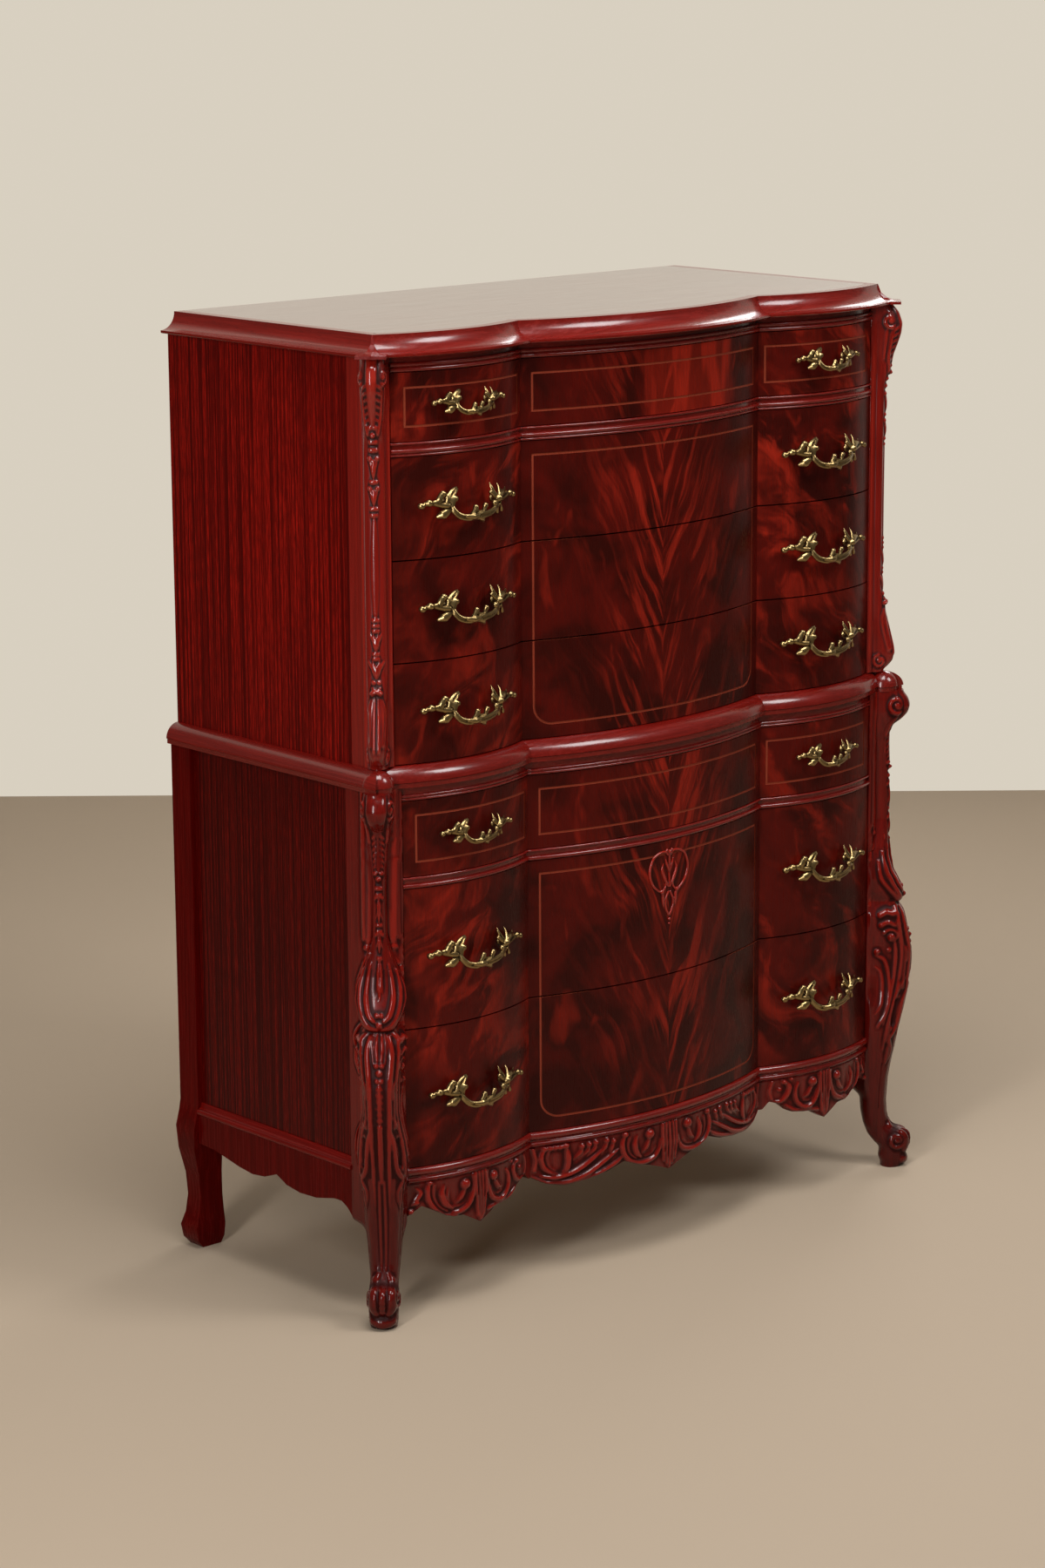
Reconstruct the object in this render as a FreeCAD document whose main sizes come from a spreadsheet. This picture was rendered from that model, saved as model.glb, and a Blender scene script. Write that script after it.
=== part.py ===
import FreeCAD, Part
import math
import os
import re
from FreeCAD import Placement, Rotation, Vector

# Tall chest on chest with a serpentine front in three bays: seven drawers,
# carved corner posts, a moulded cornice and waist, and cabriole feet.
# Origin on the floor under the middle of the piece, +Z up, drawers open to -Y.

doc = FreeCAD.newDocument("TallChest")
sheet = doc.addObject("Spreadsheet::Sheet", "Sizes")
sizes = {}


def size(name, value):
    """Puts one named size into the sheet and returns it."""
    row = len(sizes) + 1
    sheet.set(f"A{row}", name)
    sheet.set(f"B{row}", repr(float(value)))
    sheet.setAlias(f"B{row}", name)
    sizes[name] = float(value)
    return sizes[name]


# Heights from the floor up
apron_top = size("apron_top", 199.0)
base_rail_height = size("base_rail_height", 11.5)
lower_deep_height = size("lower_deep_height", 197.0)
lower_mid_rail_height = size("lower_mid_rail_height", 15.5)
lower_frieze_height = size("lower_frieze_height", 106.0)
lower_top_rail_height = size("lower_top_rail_height", 19.0)
waist_height = size("waist_height", 28.5)
upper_deep_height = size("upper_deep_height", 138.0)
upper_mid_rail_height = size("upper_mid_rail_height", 19.0)
upper_frieze_height = size("upper_frieze_height", 93.0)
upper_top_rail_height = size("upper_top_rail_height", 22.0)
cornice_height = size("cornice_height", 28.5)

base_rail_top = size("base_rail_top", apron_top + base_rail_height)
lower_seam = size("lower_seam", base_rail_top + lower_deep_height)
lower_deep_top = size("lower_deep_top", lower_seam + lower_deep_height)
lower_frieze_base = size("lower_frieze_base", lower_deep_top + lower_mid_rail_height)
lower_frieze_top = size("lower_frieze_top", lower_frieze_base + lower_frieze_height)
waist_base = size("waist_base", lower_frieze_top + lower_top_rail_height)
waist_top = size("waist_top", waist_base + waist_height)
upper_seam_low = size("upper_seam_low", waist_top + upper_deep_height)
upper_seam_high = size("upper_seam_high", upper_seam_low + upper_deep_height)
upper_deep_top = size("upper_deep_top", upper_seam_high + upper_deep_height)
upper_frieze_base = size("upper_frieze_base", upper_deep_top + upper_mid_rail_height)
upper_frieze_top = size("upper_frieze_top", upper_frieze_base + upper_frieze_height)
soffit = size("soffit", upper_frieze_top + upper_top_rail_height)
top_face = size("top_face", soffit + cornice_height)

# Half widths: each case and its drawer faces are set in from the lower side faces
lower_side_out = size("lower_side_out", 508.0)
upper_set_in = size("upper_set_in", 13.0)
corner_set_in = size("corner_set_in", 25.0)
lower_post_wide = size("lower_post_wide", 49.5)
upper_post_wide = size("upper_post_wide", 33.5)
side_bay_wide = size("side_bay_wide", 229.5)
upper_side_out = size("upper_side_out", lower_side_out - upper_set_in)
corner_out = size("corner_out", lower_side_out - corner_set_in)
lower_face_end = size("lower_face_end", lower_side_out - lower_post_wide)
upper_face_end = size("upper_face_end", upper_side_out - upper_post_wide)
face_crease_out = size("face_crease_out", lower_face_end - side_bay_wide)

# Plan of the top: the sharp corner that the posts, mouldings and feet are set out from
corner_back = size("corner_back", 425.0)
foot_back_overhang = size("foot_back_overhang", 3.0)
cornice_reach = size("cornice_reach", 24.0)
top_crease_shift = size("top_crease_shift", 1.0)
top_crease_out = size("top_crease_out", face_crease_out + top_crease_shift)
top_crease_step = size("top_crease_step", 2.5)
top_side_bow = size("top_side_bow", 27.0)
top_centre_bow = size("top_centre_bow", 48.0)
overall_depth = size(
    "overall_depth",
    corner_back + foot_back_overhang + top_crease_step + top_centre_bow + cornice_reach,
)
case_back = size("case_back", overall_depth / 2 - foot_back_overhang)
corner_line = size("corner_line", case_back - corner_back)

# Plans of the drawer faces, measured forward of the corner line
upper_end_step = size("upper_end_step", 7.0)
upper_crease_step = size("upper_crease_step", 5.0)
upper_side_bow = size("upper_side_bow", 26.0)
upper_centre_bow = size("upper_centre_bow", 42.0)
lower_end_step = size("lower_end_step", 17.0)
lower_crease_step = size("lower_crease_step", 15.0)
lower_side_bow = size("lower_side_bow", 24.0)
lower_centre_bow = size("lower_centre_bow", 45.0)

# Case boards
upper_side_thick = size("upper_side_thick", 19.0)
lower_frame_thick = size("lower_frame_thick", 20.0)
lower_panel_recess = size("lower_panel_recess", 8.0)
lower_panel_thick = size("lower_panel_thick", 12.0)
post_behind = size("post_behind", 40.0)
back_panel_thick = size("back_panel_thick", 6.0)
case_board_thick = size("case_board_thick", waist_height / 2)
rail_width = size("rail_width", 25.0)
moulding_back = size("moulding_back", 25.0)
cornice_back = size("cornice_back", 16.0)
rear_stile_wide = size("rear_stile_wide", 42.0)
rear_stile_thick = size("rear_stile_thick", 44.0)
upper_inner = size("upper_inner", upper_side_out - upper_side_thick)
lower_panel_out = size("lower_panel_out", lower_side_out - lower_panel_recess)
lower_inner = size("lower_inner", lower_panel_out - lower_panel_thick)
rear_stile_in = size("rear_stile_in", lower_side_out - rear_stile_thick)
rear_stile_front = size("rear_stile_front", case_back - rear_stile_wide)
back_panel_front = size("back_panel_front", case_back - back_panel_thick)
post_back = size("post_back", corner_line + post_behind)

# Beads, cove and torus
bead_small = size("bead_small", 1.8)
bead_large = size("bead_large", 3.0)
bead_gap = size("bead_gap", 0.8)
fascia_step = size("fascia_step", 2.0)
lip_thick = size("lip_thick", 4.0)
lip_round = size("lip_round", 1.2)
torus_reach = size("torus_reach", 8.0)
torus_quirk = size("torus_quirk", 2.5)
fillet_height = size("fillet_height", 7.0)
fillet_reach = size("fillet_reach", 6.5)
torus_seat = size("torus_seat", 14.0)
base_bead_reach = size("base_bead_reach", 5.0)
ear_reach = size("ear_reach", 33.5)
ear_wide = size("ear_wide", 41.0)
waist_ear_radius = size("waist_ear_radius", 22.0)
waist_ear_set = size("waist_ear_set", 17.0)

# Drawers
front_gap = size("front_gap", 1.0)
front_thick = size("front_thick", 22.0)
box_inset = size("box_inset", 2.5)
box_side_thick = size("box_side_thick", 12.0)
box_back_thick = size("box_back_thick", 12.0)
box_bottom_thick = size("box_bottom_thick", 6.0)
stop_reach = size("stop_reach", 16.7)
box_lift = size("box_lift", 12.0)
box_drop = size("box_drop", 24.0)
groove_deep = size("groove_deep", 5.0)
groove_up = size("groove_up", 8.0)
running_gap = size("running_gap", 0.3)
upper_front_back = size("upper_front_back", corner_line - upper_crease_step + front_thick)
lower_front_back = size("lower_front_back", corner_line - lower_crease_step + front_thick)
box_length = size("box_length", back_panel_front - upper_front_back - running_gap - stop_reach)
ledge_thick = size("ledge_thick", 11.0)
ledge_under = size("ledge_under", 6.0)
guide_above = size("guide_above", 14.0)
stop_thick = size("stop_thick", 18.0)
stop_height = size("stop_height", 30.0)

# Routed line borders on the fronts
line_wide = size("line_wide", 3.0)
line_deep = size("line_deep", 1.2)
line_margin = size("line_margin", 18.5)
line_end_margin = size("line_end_margin", 17.5)
line_crease_margin = size("line_crease_margin", 8.0)
line_centre_margin = size("line_centre_margin", 15.0)
line_corner = size("line_corner", 28.0)

# Cast pulls
pull_shift = size("pull_shift", 1.25)
pull_out = size("pull_out", face_crease_out + side_bay_wide / 2 + pull_shift)
pull_bore = size("pull_bore", 88.0)
pull_rise = size("pull_rise", 4.0)
pull_stand = size("pull_stand", 24.0)
pull_post_radius = size("pull_post_radius", 5.0)
pull_bow_radius = size("pull_bow_radius", 4.5)
pull_bow_drop = size("pull_bow_drop", 19.0)
pull_leaf_long = size("pull_leaf_long", 42.0)
pull_leaf_high = size("pull_leaf_high", 17.0)
pull_leaf_thick = size("pull_leaf_thick", 5.0)
pull_leaf_stand = size("pull_leaf_stand", 6.0)
small_pull_share = size("small_pull_share", 0.75)
bolt_radius = size("bolt_radius", 2.0)
bolt_play = size("bolt_play", 0.2)
bolt_grip = size("bolt_grip", 9.0)
bolt_head_radius = size("bolt_head_radius", 4.5)
bolt_head_thick = size("bolt_head_thick", 3.0)

# Corner posts, legs and feet, set out along the diagonal from the corner
upper_post_reach = size("upper_post_reach", 34.0)
upper_post_half = size("upper_post_half", 21.0)
lower_post_reach = size("lower_post_reach", 67.0)
lower_post_half = size("lower_post_half", 28.0)
side_end_step = size("side_end_step", 9.0)
leg_inset = size("leg_inset", 14.3)
rear_knee_out = size("rear_knee_out", 8.5)
apron_thick = size("apron_thick", 20.0)
apron_drop = size("apron_drop", 84.5)
apron_proud = size("apron_proud", 6.0)
side_apron_drop = size("side_apron_drop", 54.0)
cut_over = size("cut_over", 60.0)
small_over = size("small_over", 6.0)
crease_lap = size("crease_lap", 12.0)

nodes = {}


def in_sheet(words):
    """Turns the names of sizes in an expression into references to the sheet."""
    return re.sub(r"[a-z][a-z_]+", lambda found: "Sizes." + found.group(0), words)


def bind(thing, **words):
    for target, expression in words.items():
        thing.setExpression(target.replace("__", "."), in_sheet(expression))


def place(thing, x="", y="", z=""):
    for axis, expression in (("x", x), ("y", y), ("z", z)):
        if expression:
            thing.setExpression(f"Placement.Base.{axis}", in_sheet(expression))


def named(label, thing):
    """Labels a finished sub-part and keeps it for the export."""
    thing.Label = label
    nodes[label] = thing
    return thing


def board(name, length, width, height, x, y, z):
    """A plain rectangular board, its size and corner bound to the sheet."""
    box = doc.addObject("Part::Box", name)
    bind(box, Length=length, Width=width, Height=height)
    place(box, x, y, z)
    return box


def mirrored(thing):
    other = doc.addObject("Part::Mirroring", thing.Name + "_right")
    other.Source = thing
    other.Normal = Vector(1, 0, 0)
    return other


def group(name, things):
    gathered = doc.addObject("Part::Compound", name)
    gathered.Links = things
    return gathered


def pair(name, thing):
    return group(name, [thing, mirrored(thing)])


def feature(name, shape):
    made = doc.addObject("Part::Feature", name)
    made.Shape = shape
    made.Placement = Placement(Vector(0, 0, 0), Rotation())
    return made


class Bow:
    """One bay's arc in plan, from one end to the other, bulging to -Y."""

    def __init__(self, start, end, bow):
        half = math.hypot(end[0] - start[0], end[1] - start[1]) / 2
        self.radius = (half * half + bow * bow) / (2 * bow)
        across = ((end[1] - start[1]) / (2 * half), (start[0] - end[0]) / (2 * half))
        back = self.radius - bow
        self.x = (start[0] + end[0]) / 2 - across[0] * back
        self.y = (start[1] + end[1]) / 2 - across[1] * back
        self.start = start[0]
        self.end = end[0]

    def front(self, x, offset=0):
        return self.y - math.sqrt((self.radius + offset) ** 2 - (x - self.x) ** 2)

    def turn(self, x):
        return math.atan2(self.front(x) - self.y, x - self.x)


class Plan:
    """Three bows that meet in creases: side bay, centre bay, side bay."""

    def __init__(self, end_out, end_step, crease_out, crease_step, side_bow, centre_bow):
        end_y = corner_line - end_step
        crease_y = corner_line - crease_step
        self.end_out = end_out
        self.crease_out = crease_out
        self.crease_y = crease_y
        self.left = Bow((-end_out, end_y), (-crease_out, crease_y), side_bow)
        self.centre = Bow((-crease_out, crease_y), (crease_out, crease_y), centre_bow)
        self.right = Bow((crease_out, crease_y), (end_out, end_y), side_bow)

    def crease(self, offset):
        """Where the offset arcs of the centre and right bays cross."""
        a, b = self.centre, self.right
        apart = math.hypot(b.x - a.x, b.y - a.y)
        reach, other = a.radius + offset, b.radius + offset
        along = (reach * reach - other * other + apart * apart) / (2 * apart)
        rise = math.sqrt(reach * reach - along * along)
        return a.x + ((b.x - a.x) * along + (b.y - a.y) * rise) / apart

    def edges(self, end_out, offset=0):
        """The serpentine line from left to right as three arcs."""
        crease = self.crease(offset)
        stops = [-end_out, -crease, crease, end_out]
        arcs = []
        for bow, start, end in zip((self.left, self.centre, self.right), stops, stops[1:]):
            middle = (start + end) / 2
            points = [Vector(x, bow.front(x, offset), 0) for x in (start, middle, end)]
            arcs.append(Part.Arc(*points))
        return arcs


top_plan = Plan(corner_out, 0, top_crease_out, top_crease_step, top_side_bow, top_centre_bow)
upper_plan = Plan(
    upper_face_end, upper_end_step, face_crease_out, upper_crease_step, upper_side_bow, upper_centre_bow
)
lower_plan = Plan(
    lower_face_end, lower_end_step, face_crease_out, lower_crease_step, lower_side_bow, lower_centre_bow
)


def origin_plane(body, role):
    return next(part for part in body.Origin.OriginFeatures if part.Role == role)


def sketched_body(name, role, edges, length, offset=""):
    """A body whose one sketch is the closed line of edges, padded to length."""
    body = doc.addObject("PartDesign::Body", name)
    sketch = body.newObject("Sketcher::SketchObject", name + "_outline")
    sketch.AttachmentSupport = (origin_plane(body, role), [""])
    sketch.MapMode = "FlatFace"
    if offset:
        sketch.setExpression("AttachmentOffset.Base.z", in_sheet(offset))
    sketch.addGeometry(edges)
    pad = body.newObject("PartDesign::Pad", name + "_pad")
    pad.Profile = sketch
    pad.setExpression("Length", in_sheet(length))
    return body


def outline(points):
    """Straight edges through the points, closed, for a sketch."""
    spots = [Vector(x, y, 0) for x, y in points]
    return [Part.LineSegment(a, b) for a, b in zip(spots, spots[1:] + spots[:1])]


def fronted_outline(plan, end_out, back_y, offset=0):
    """A serpentine front line with straight ends and a straight back."""
    corners = [
        Vector(end_out, plan.right.front(end_out, offset), 0),
        Vector(end_out, back_y, 0),
        Vector(-end_out, back_y, 0),
        Vector(-end_out, plan.left.front(-end_out, offset), 0),
    ]
    sides = [Part.LineSegment(a, b) for a, b in zip(corners, corners[1:])]
    return plan.edges(end_out, offset) + sides


def fronted_body(name, plan, end_out, back_y, height, base, offset=0):
    body = sketched_body(name, "XY_Plane", fronted_outline(plan, end_out, back_y, offset), height)
    place(body, z=base)
    return body


def profile_face(profile, spot):
    """A closed face from (reach, height) points; a triple of points is an arc."""
    edges = []
    here = spot(*profile[0])
    start = here
    for step in profile[1:]:
        if isinstance(step[0], tuple):
            middle, end = (spot(*point) for point in step)
            edges.append(Part.Arc(here, middle, end).toShape())
        else:
            end = spot(*step)
            edges.append(Part.LineSegment(here, end).toShape())
        here = end
    edges.append(Part.LineSegment(here, start).toShape())
    return Part.Face(Part.Wire(edges))


def swept_bay(bow, start, end, profile, lap):
    """The profile turned about the bay's own centre, lapped past both ends."""
    turn = bow.turn(start) - lap / bow.radius
    sweep = bow.turn(end) + lap / bow.radius - turn

    def spot(reach, height):
        out = bow.radius + reach
        return Vector(bow.x + out * math.cos(turn), bow.y + out * math.sin(turn), height)

    axis = Vector(bow.x, bow.y, 0)
    return profile_face(profile, spot).revolve(axis, Vector(0, 0, 1), math.degrees(sweep))


def room_behind(plan, offset, base, height):
    """All the room behind an offset of the front line."""
    edges = fronted_outline(plan, plan.end_out + cut_over / 2, case_back, offset)
    face = Part.Face(Part.Wire([edge.toShape() for edge in edges]))
    face.translate(Vector(0, 0, base))
    return face.extrude(Vector(0, 0, height))


def swept_front(plan, profile, lap_ends=0):
    """The profile along all three bays in one piece, with the laps trimmed off at the back."""
    left = swept_bay(plan.left, plan.left.start, plan.left.end, profile, crease_lap + lap_ends)
    centre = swept_bay(plan.centre, plan.centre.start, plan.centre.end, profile, crease_lap)
    right = swept_bay(plan.right, plan.right.start, plan.right.end, profile, crease_lap + lap_ends)
    run = left.fuse([centre, right])
    back = profile[0][0]
    if back < 0:
        run = run.cut(room_behind(plan, back, profile[0][1], profile[-1][1] - profile[0][1]))
    return run.removeSplitter()


def prism(points, base, height):
    """A vertical prism on the (x, y) points."""
    spots = [Vector(x, y, base) for x, y in points]
    face = Part.Face(Part.makePolygon(spots + spots[:1]))
    return face.extrude(Vector(0, 0, height))


def between_ends(shape, end_out):
    """Keeps what lies between the two posts."""
    limits = shape.BoundBox
    keep = Part.makeBox(
        2 * end_out, overall_depth, limits.ZLength, Vector(-end_out, -overall_depth, limits.ZMin)
    )
    return shape.common(keep)


def diagonal(along, across=0, height=0):
    """A point given by its distance out along the right corner's diagonal."""
    root = math.sqrt(0.5)
    x = corner_out + root * (along + across)
    y = corner_line - root * (along - across)
    return Vector(x, y, height)


def mirror_x(shape):
    return shape.mirror(Vector(0, 0, 0), Vector(1, 0, 0))


def named_pair(label, shape):
    """The right-hand piece and its mirror image as one node."""
    return named(label, feature(label, Part.makeCompound([shape, mirror_x(shape)])))


def mitre_parts(base, height):
    """Prisms that hold the front run and the right side run of a moulding."""
    outer = diagonal(overall_depth / 2)
    inner = diagonal(-overall_depth / 3)
    front = prism(
        [(outer.x, outer.y), (inner.x, inner.y), (-inner.x, inner.y), (-outer.x, outer.y)], base, height
    )
    side = prism(
        [(outer.x, outer.y), (outer.x, case_back), (inner.x, case_back), (inner.x, inner.y)], base, height
    )
    return front, side


def side_run(profile, out):
    """The profile run straight along the right side, past the front corner."""
    start = corner_line - cut_over
    face = profile_face(profile, lambda reach, height: Vector(out + reach, start, height))
    return face.extrude(Vector(0, case_back - start, 0))


# Mouldings and rails
torus_radius = torus_reach + torus_seat
forty_five = math.sqrt(0.5)
torus_rise = torus_radius * (1 - forty_five)


def bead(base, radius):
    """A half round bead standing on a face, as one arc."""
    return ((radius, base + radius), (0, base + 2 * radius))


cove_rise = cornice_height - lip_thick
cove_profile = [
    (-cornice_back, soffit),
    (cornice_reach - lip_round, soffit),
    (cornice_reach, soffit + lip_round),
    (cornice_reach, soffit + lip_thick),
    (
        (cornice_reach * (1 - forty_five), soffit + lip_thick + cove_rise * (1 - forty_five)),
        (0, top_face),
    ),
    (-cornice_back, top_face),
]
waist_profile = [
    (-moulding_back, waist_base),
    (fillet_reach, waist_base),
    (fillet_reach, waist_base + fillet_height - bead_gap),
    (torus_reach - torus_quirk, waist_base + fillet_height - bead_gap),
    (torus_reach, waist_base + fillet_height),
    (
        (torus_reach - torus_rise, waist_top - torus_rise),
        (-torus_seat, waist_top),
    ),
    (-moulding_back, waist_top),
]
upper_top_rail_profile = [
    (-rail_width, upper_frieze_top),
    (0, upper_frieze_top),
    bead(upper_frieze_top, bead_large),
    (0, upper_frieze_top + 2 * bead_large + bead_gap),
    bead(upper_frieze_top + 2 * bead_large + bead_gap, bead_large),
    (-fascia_step, upper_frieze_top + 4 * bead_large + bead_gap),
    (-fascia_step, soffit),
    (-rail_width, soffit),
]
upper_mid_rail_profile = [
    (-rail_width, upper_deep_top),
    (0, upper_deep_top),
    bead(upper_deep_top, bead_small),
    (0, upper_deep_top + 2 * bead_small + bead_gap),
    bead(upper_deep_top + 2 * bead_small + bead_gap, bead_large),
    (-fascia_step, upper_deep_top + 2 * bead_small + bead_gap + 2 * bead_large),
    (-fascia_step, upper_frieze_base - 2 * bead_small),
    (0, upper_frieze_base - 2 * bead_small),
    bead(upper_frieze_base - 2 * bead_small, bead_small),
    (-rail_width, upper_frieze_base),
]
lower_top_rail_profile = [
    (-rail_width, lower_frieze_top),
    (0, lower_frieze_top),
    bead(lower_frieze_top, bead_small),
    (0, lower_frieze_top + 2 * bead_small + bead_gap),
    bead(lower_frieze_top + 2 * bead_small + bead_gap, bead_small),
    (-fascia_step, lower_frieze_top + 4 * bead_small + bead_gap),
    (-fascia_step, waist_base),
    (-rail_width, waist_base),
]
lower_mid_rail_profile = [
    (-rail_width, lower_deep_top),
    (0, lower_deep_top),
    bead(lower_deep_top, bead_large),
    (-fascia_step, lower_deep_top + 2 * bead_large),
    (-fascia_step, lower_frieze_base - 2 * bead_small),
    (0, lower_frieze_base - 2 * bead_small),
    bead(lower_frieze_base - 2 * bead_small, bead_small),
    (-rail_width, lower_frieze_base),
]
base_rail_profile = [
    (-rail_width, apron_top),
    (0, apron_top),
    ((base_bead_reach, (apron_top + base_rail_top) / 2), (0, base_rail_top)),
    (-rail_width, base_rail_top),
]


ear_top_share = 1 / 12
ear_flare_shares = [(0.0, 0.03), (0.35, 0.12), (0.6, 0.3), (0.8, 0.55), (1.0, 1.0)]


def cornice_ear():
    """The canted ear that the cove flares into at the right corner."""
    wires = []
    for turn_share, wide_share in ear_flare_shares:
        turn = turn_share * math.pi / 2
        out_share = 1 - math.cos(turn)
        height = top_face - cove_rise * math.sin(turn)
        wires.append((ear_reach * out_share, ear_wide / 2 * wide_share, height))
    wires.append((ear_reach, ear_wide / 2, soffit))
    inner = -cornice_back / 2
    loops = []
    for out, half, height in wires:
        spots = [(out, half), (inner, half), (inner, -half), (out, -half)]
        points = [diagonal(along, across, height) for along, across in spots]
        loops.append(Part.makePolygon(points + points[:1]))
    return Part.makeLoft(loops, True, True)


def waist_ear():
    """The rounded knob that the waist torus turns over at the right corner."""
    centre = diagonal(waist_ear_set)
    top_radius = waist_ear_radius - torus_radius * (1 - ear_top_share)
    profile = [
        (0, waist_base),
        (waist_ear_radius - torus_reach + fillet_reach, waist_base),
        (waist_ear_radius - torus_reach + fillet_reach, waist_base + fillet_height - bead_gap),
        (waist_ear_radius, waist_base + fillet_height),
        (
            (waist_ear_radius - torus_rise, waist_top - torus_rise),
            (top_radius, waist_top),
        ),
        (0, waist_top),
    ]
    face = profile_face(profile, lambda reach, height: Vector(centre.x + reach, centre.y, height))
    return face.revolve(centre, Vector(0, 0, 1), 360)


def mitred_moulding(label, plan, profile, side_out, ear):
    """Front and side runs of one moulding, mitred through the corner ears."""
    height = profile[-1][1] - profile[0][1]
    front_room, side_room = mitre_parts(profile[0][1], height)
    lap = cut_over / 3
    run = side_run(profile, side_out)
    front = swept_front(plan, profile, lap).fuse([ear, mirror_x(ear)])
    named(label + "_front", feature(label + "_front", front.common(front_room).removeSplitter()))
    side = run.fuse(ear).common(side_room).removeSplitter()
    named_pair(label + "_sides", side)


mitred_moulding("cornice", top_plan, cove_profile, corner_out, cornice_ear())
mitred_moulding("waist_moulding", lower_plan, waist_profile, lower_side_out, waist_ear())

rails = {
    "upper_top_rail": (upper_plan, upper_face_end, upper_top_rail_profile),
    "upper_mid_rail": (upper_plan, upper_face_end, upper_mid_rail_profile),
    "lower_top_rail": (lower_plan, lower_face_end, lower_top_rail_profile),
    "lower_mid_rail": (lower_plan, lower_face_end, lower_mid_rail_profile),
    "lower_base_rail": (lower_plan, lower_face_end, base_rail_profile),
}
for label, (plan, end_out, profile) in rails.items():
    rail = between_ends(swept_front(plan, profile), end_out)
    named(label, feature(label, rail))

# Boards of the two cases
top_inner_out = corner_out - cornice_back
top_board = fronted_body(
    "top_board", top_plan, top_inner_out, case_back, "cornice_height", "soffit", -cornice_back
)
named("top_board", top_board)

board_front_out = lower_side_out - moulding_back
case_boards = (("lower_top_board", "waist_base"), ("upper_bottom_board", "waist_base + case_board_thick"))
for label, height_at in case_boards:
    case_board = fronted_body(
        label, lower_plan, board_front_out, case_back, "case_board_thick", height_at, -moulding_back
    )
    named(label, case_board)

upper_side = board(
    "upper_side",
    "upper_side_thick",
    "case_back - post_back",
    "soffit - waist_top",
    "-upper_side_out",
    "post_back",
    "waist_top",
)
named("upper_side_panels", pair("upper_side_panels", upper_side))
upper_back = board(
    "upper_back_panel",
    "2 * upper_inner",
    "back_panel_thick",
    "soffit - waist_top",
    "-upper_inner",
    "back_panel_front",
    "waist_top",
)
named("upper_back_panel", upper_back)
lower_panel = board(
    "lower_panel",
    "lower_panel_thick",
    "rear_stile_front - post_back",
    "waist_base - base_rail_top",
    "-lower_panel_out",
    "post_back",
    "base_rail_top",
)
named("lower_side_panels", pair("lower_side_panels", lower_panel))
lower_back = board(
    "lower_back_panel",
    "2 * rear_stile_in",
    "back_panel_thick",
    "waist_base - apron_top",
    "-rear_stile_in",
    "back_panel_front",
    "apron_top",
)
named("lower_back_panel", lower_back)
lower_bottom = fronted_body(
    "lower_bottom_board",
    lower_plan,
    lower_face_end,
    back_panel_front,
    "base_rail_height",
    "apron_top",
    -rail_width,
)
named("lower_bottom_board", lower_bottom)

# Corner posts and front legs
upper_post_shares = [
    # height share of the post, reach share, half width share
    (1.000, 0.560, 0.95),
    (0.976, 0.860, 1.00),
    (0.948, 0.990, 1.00),
    (0.922, 0.955, 1.00),
    (0.895, 0.820, 0.97),
    (0.866, 0.655, 0.92),
    (0.818, 0.580, 0.90),
    (0.803, 0.810, 0.90),
    (0.784, 0.456, 0.90),
    (0.700, 0.462, 0.90),
    (0.618, 0.415, 0.90),
    (0.560, 0.371, 0.90),
    (0.394, 0.347, 0.90),
    (0.357, 0.430, 0.92),
    (0.225, 0.403, 0.92),
    (0.196, 0.700, 0.92),
    (0.164, 0.535, 0.94),
    (0.103, 0.750, 0.98),
    (0.053, 0.941, 1.00),
    (0.015, 0.700, 0.96),
    (0.000, 0.485, 0.90),
]
lower_post_shares = [
    # height share from the apron's top to the waist, reach share, half width share
    (1.000, 0.640, 0.95),
    (0.978, 0.765, 1.00),
    (0.959, 0.816, 1.05),
    (0.936, 0.760, 1.05),
    (0.906, 0.476, 1.02),
    (0.877, 0.395, 1.00),
    (0.836, 0.385, 1.00),
    (0.786, 0.495, 1.00),
    (0.761, 0.420, 1.00),
    (0.597, 0.435, 1.00),
    (0.536, 0.480, 1.00),
    (0.492, 0.530, 1.02),
    (0.454, 0.690, 1.04),
    (0.427, 0.775, 1.04),
    (0.402, 0.640, 1.00),
    (0.372, 0.780, 1.02),
    (0.331, 0.910, 1.05),
    (0.277, 1.000, 1.06),
    (0.222, 0.960, 1.03),
    (0.166, 0.905, 1.00),
    (0.106, 0.795, 0.96),
    (0.044, 0.680, 0.92),
    (-0.018, 0.600, 0.86),
]
leg_shares = [
    # height share of the apron's top, outer reach share, inner reach in leg insets, half width share
    (0.749, 0.480, -1.55, 0.80),
    (0.618, 0.450, -0.95, 0.76),
    (0.532, 0.432, -0.74, 0.74),
    (0.427, 0.455, -0.62, 0.72),
    (0.344, 0.528, -0.36, 0.72),
    (0.303, 0.640, -0.15, 0.74),
    (0.266, 0.940, 0.05, 0.76),
    (0.225, 0.991, 0.45, 0.76),
    (0.172, 0.975, 1.00, 0.74),
    (0.135, 0.900, 1.34, 0.70),
    (0.079, 0.957, 1.30, 0.68),
    (0.030, 0.910, 1.50, 0.66),
    (0.000, 0.800, 1.62, 0.60),
]
inner_edge_share = 0.55


def post_section(height, reach, half, block, side_end):
    """A post's section: a square block in the case with a rounded nose outside it."""
    shoulder = reach - half
    nose = [diagonal(shoulder, half, height), diagonal(reach, 0, height), diagonal(shoulder, -half, height)]
    corners = [Vector(x, y, height) for x, y in block]
    side = Vector(side_end[0], side_end[1], height)
    lines = [
        Part.LineSegment(nose[2], corners[0]).toShape(),
        Part.LineSegment(corners[0], corners[1]).toShape(),
        Part.LineSegment(corners[1], corners[2]).toShape(),
        Part.LineSegment(corners[2], side).toShape(),
        Part.LineSegment(side, nose[0]).toShape(),
    ]
    return Part.Wire([Part.Arc(*nose).toShape()] + lines)


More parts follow.
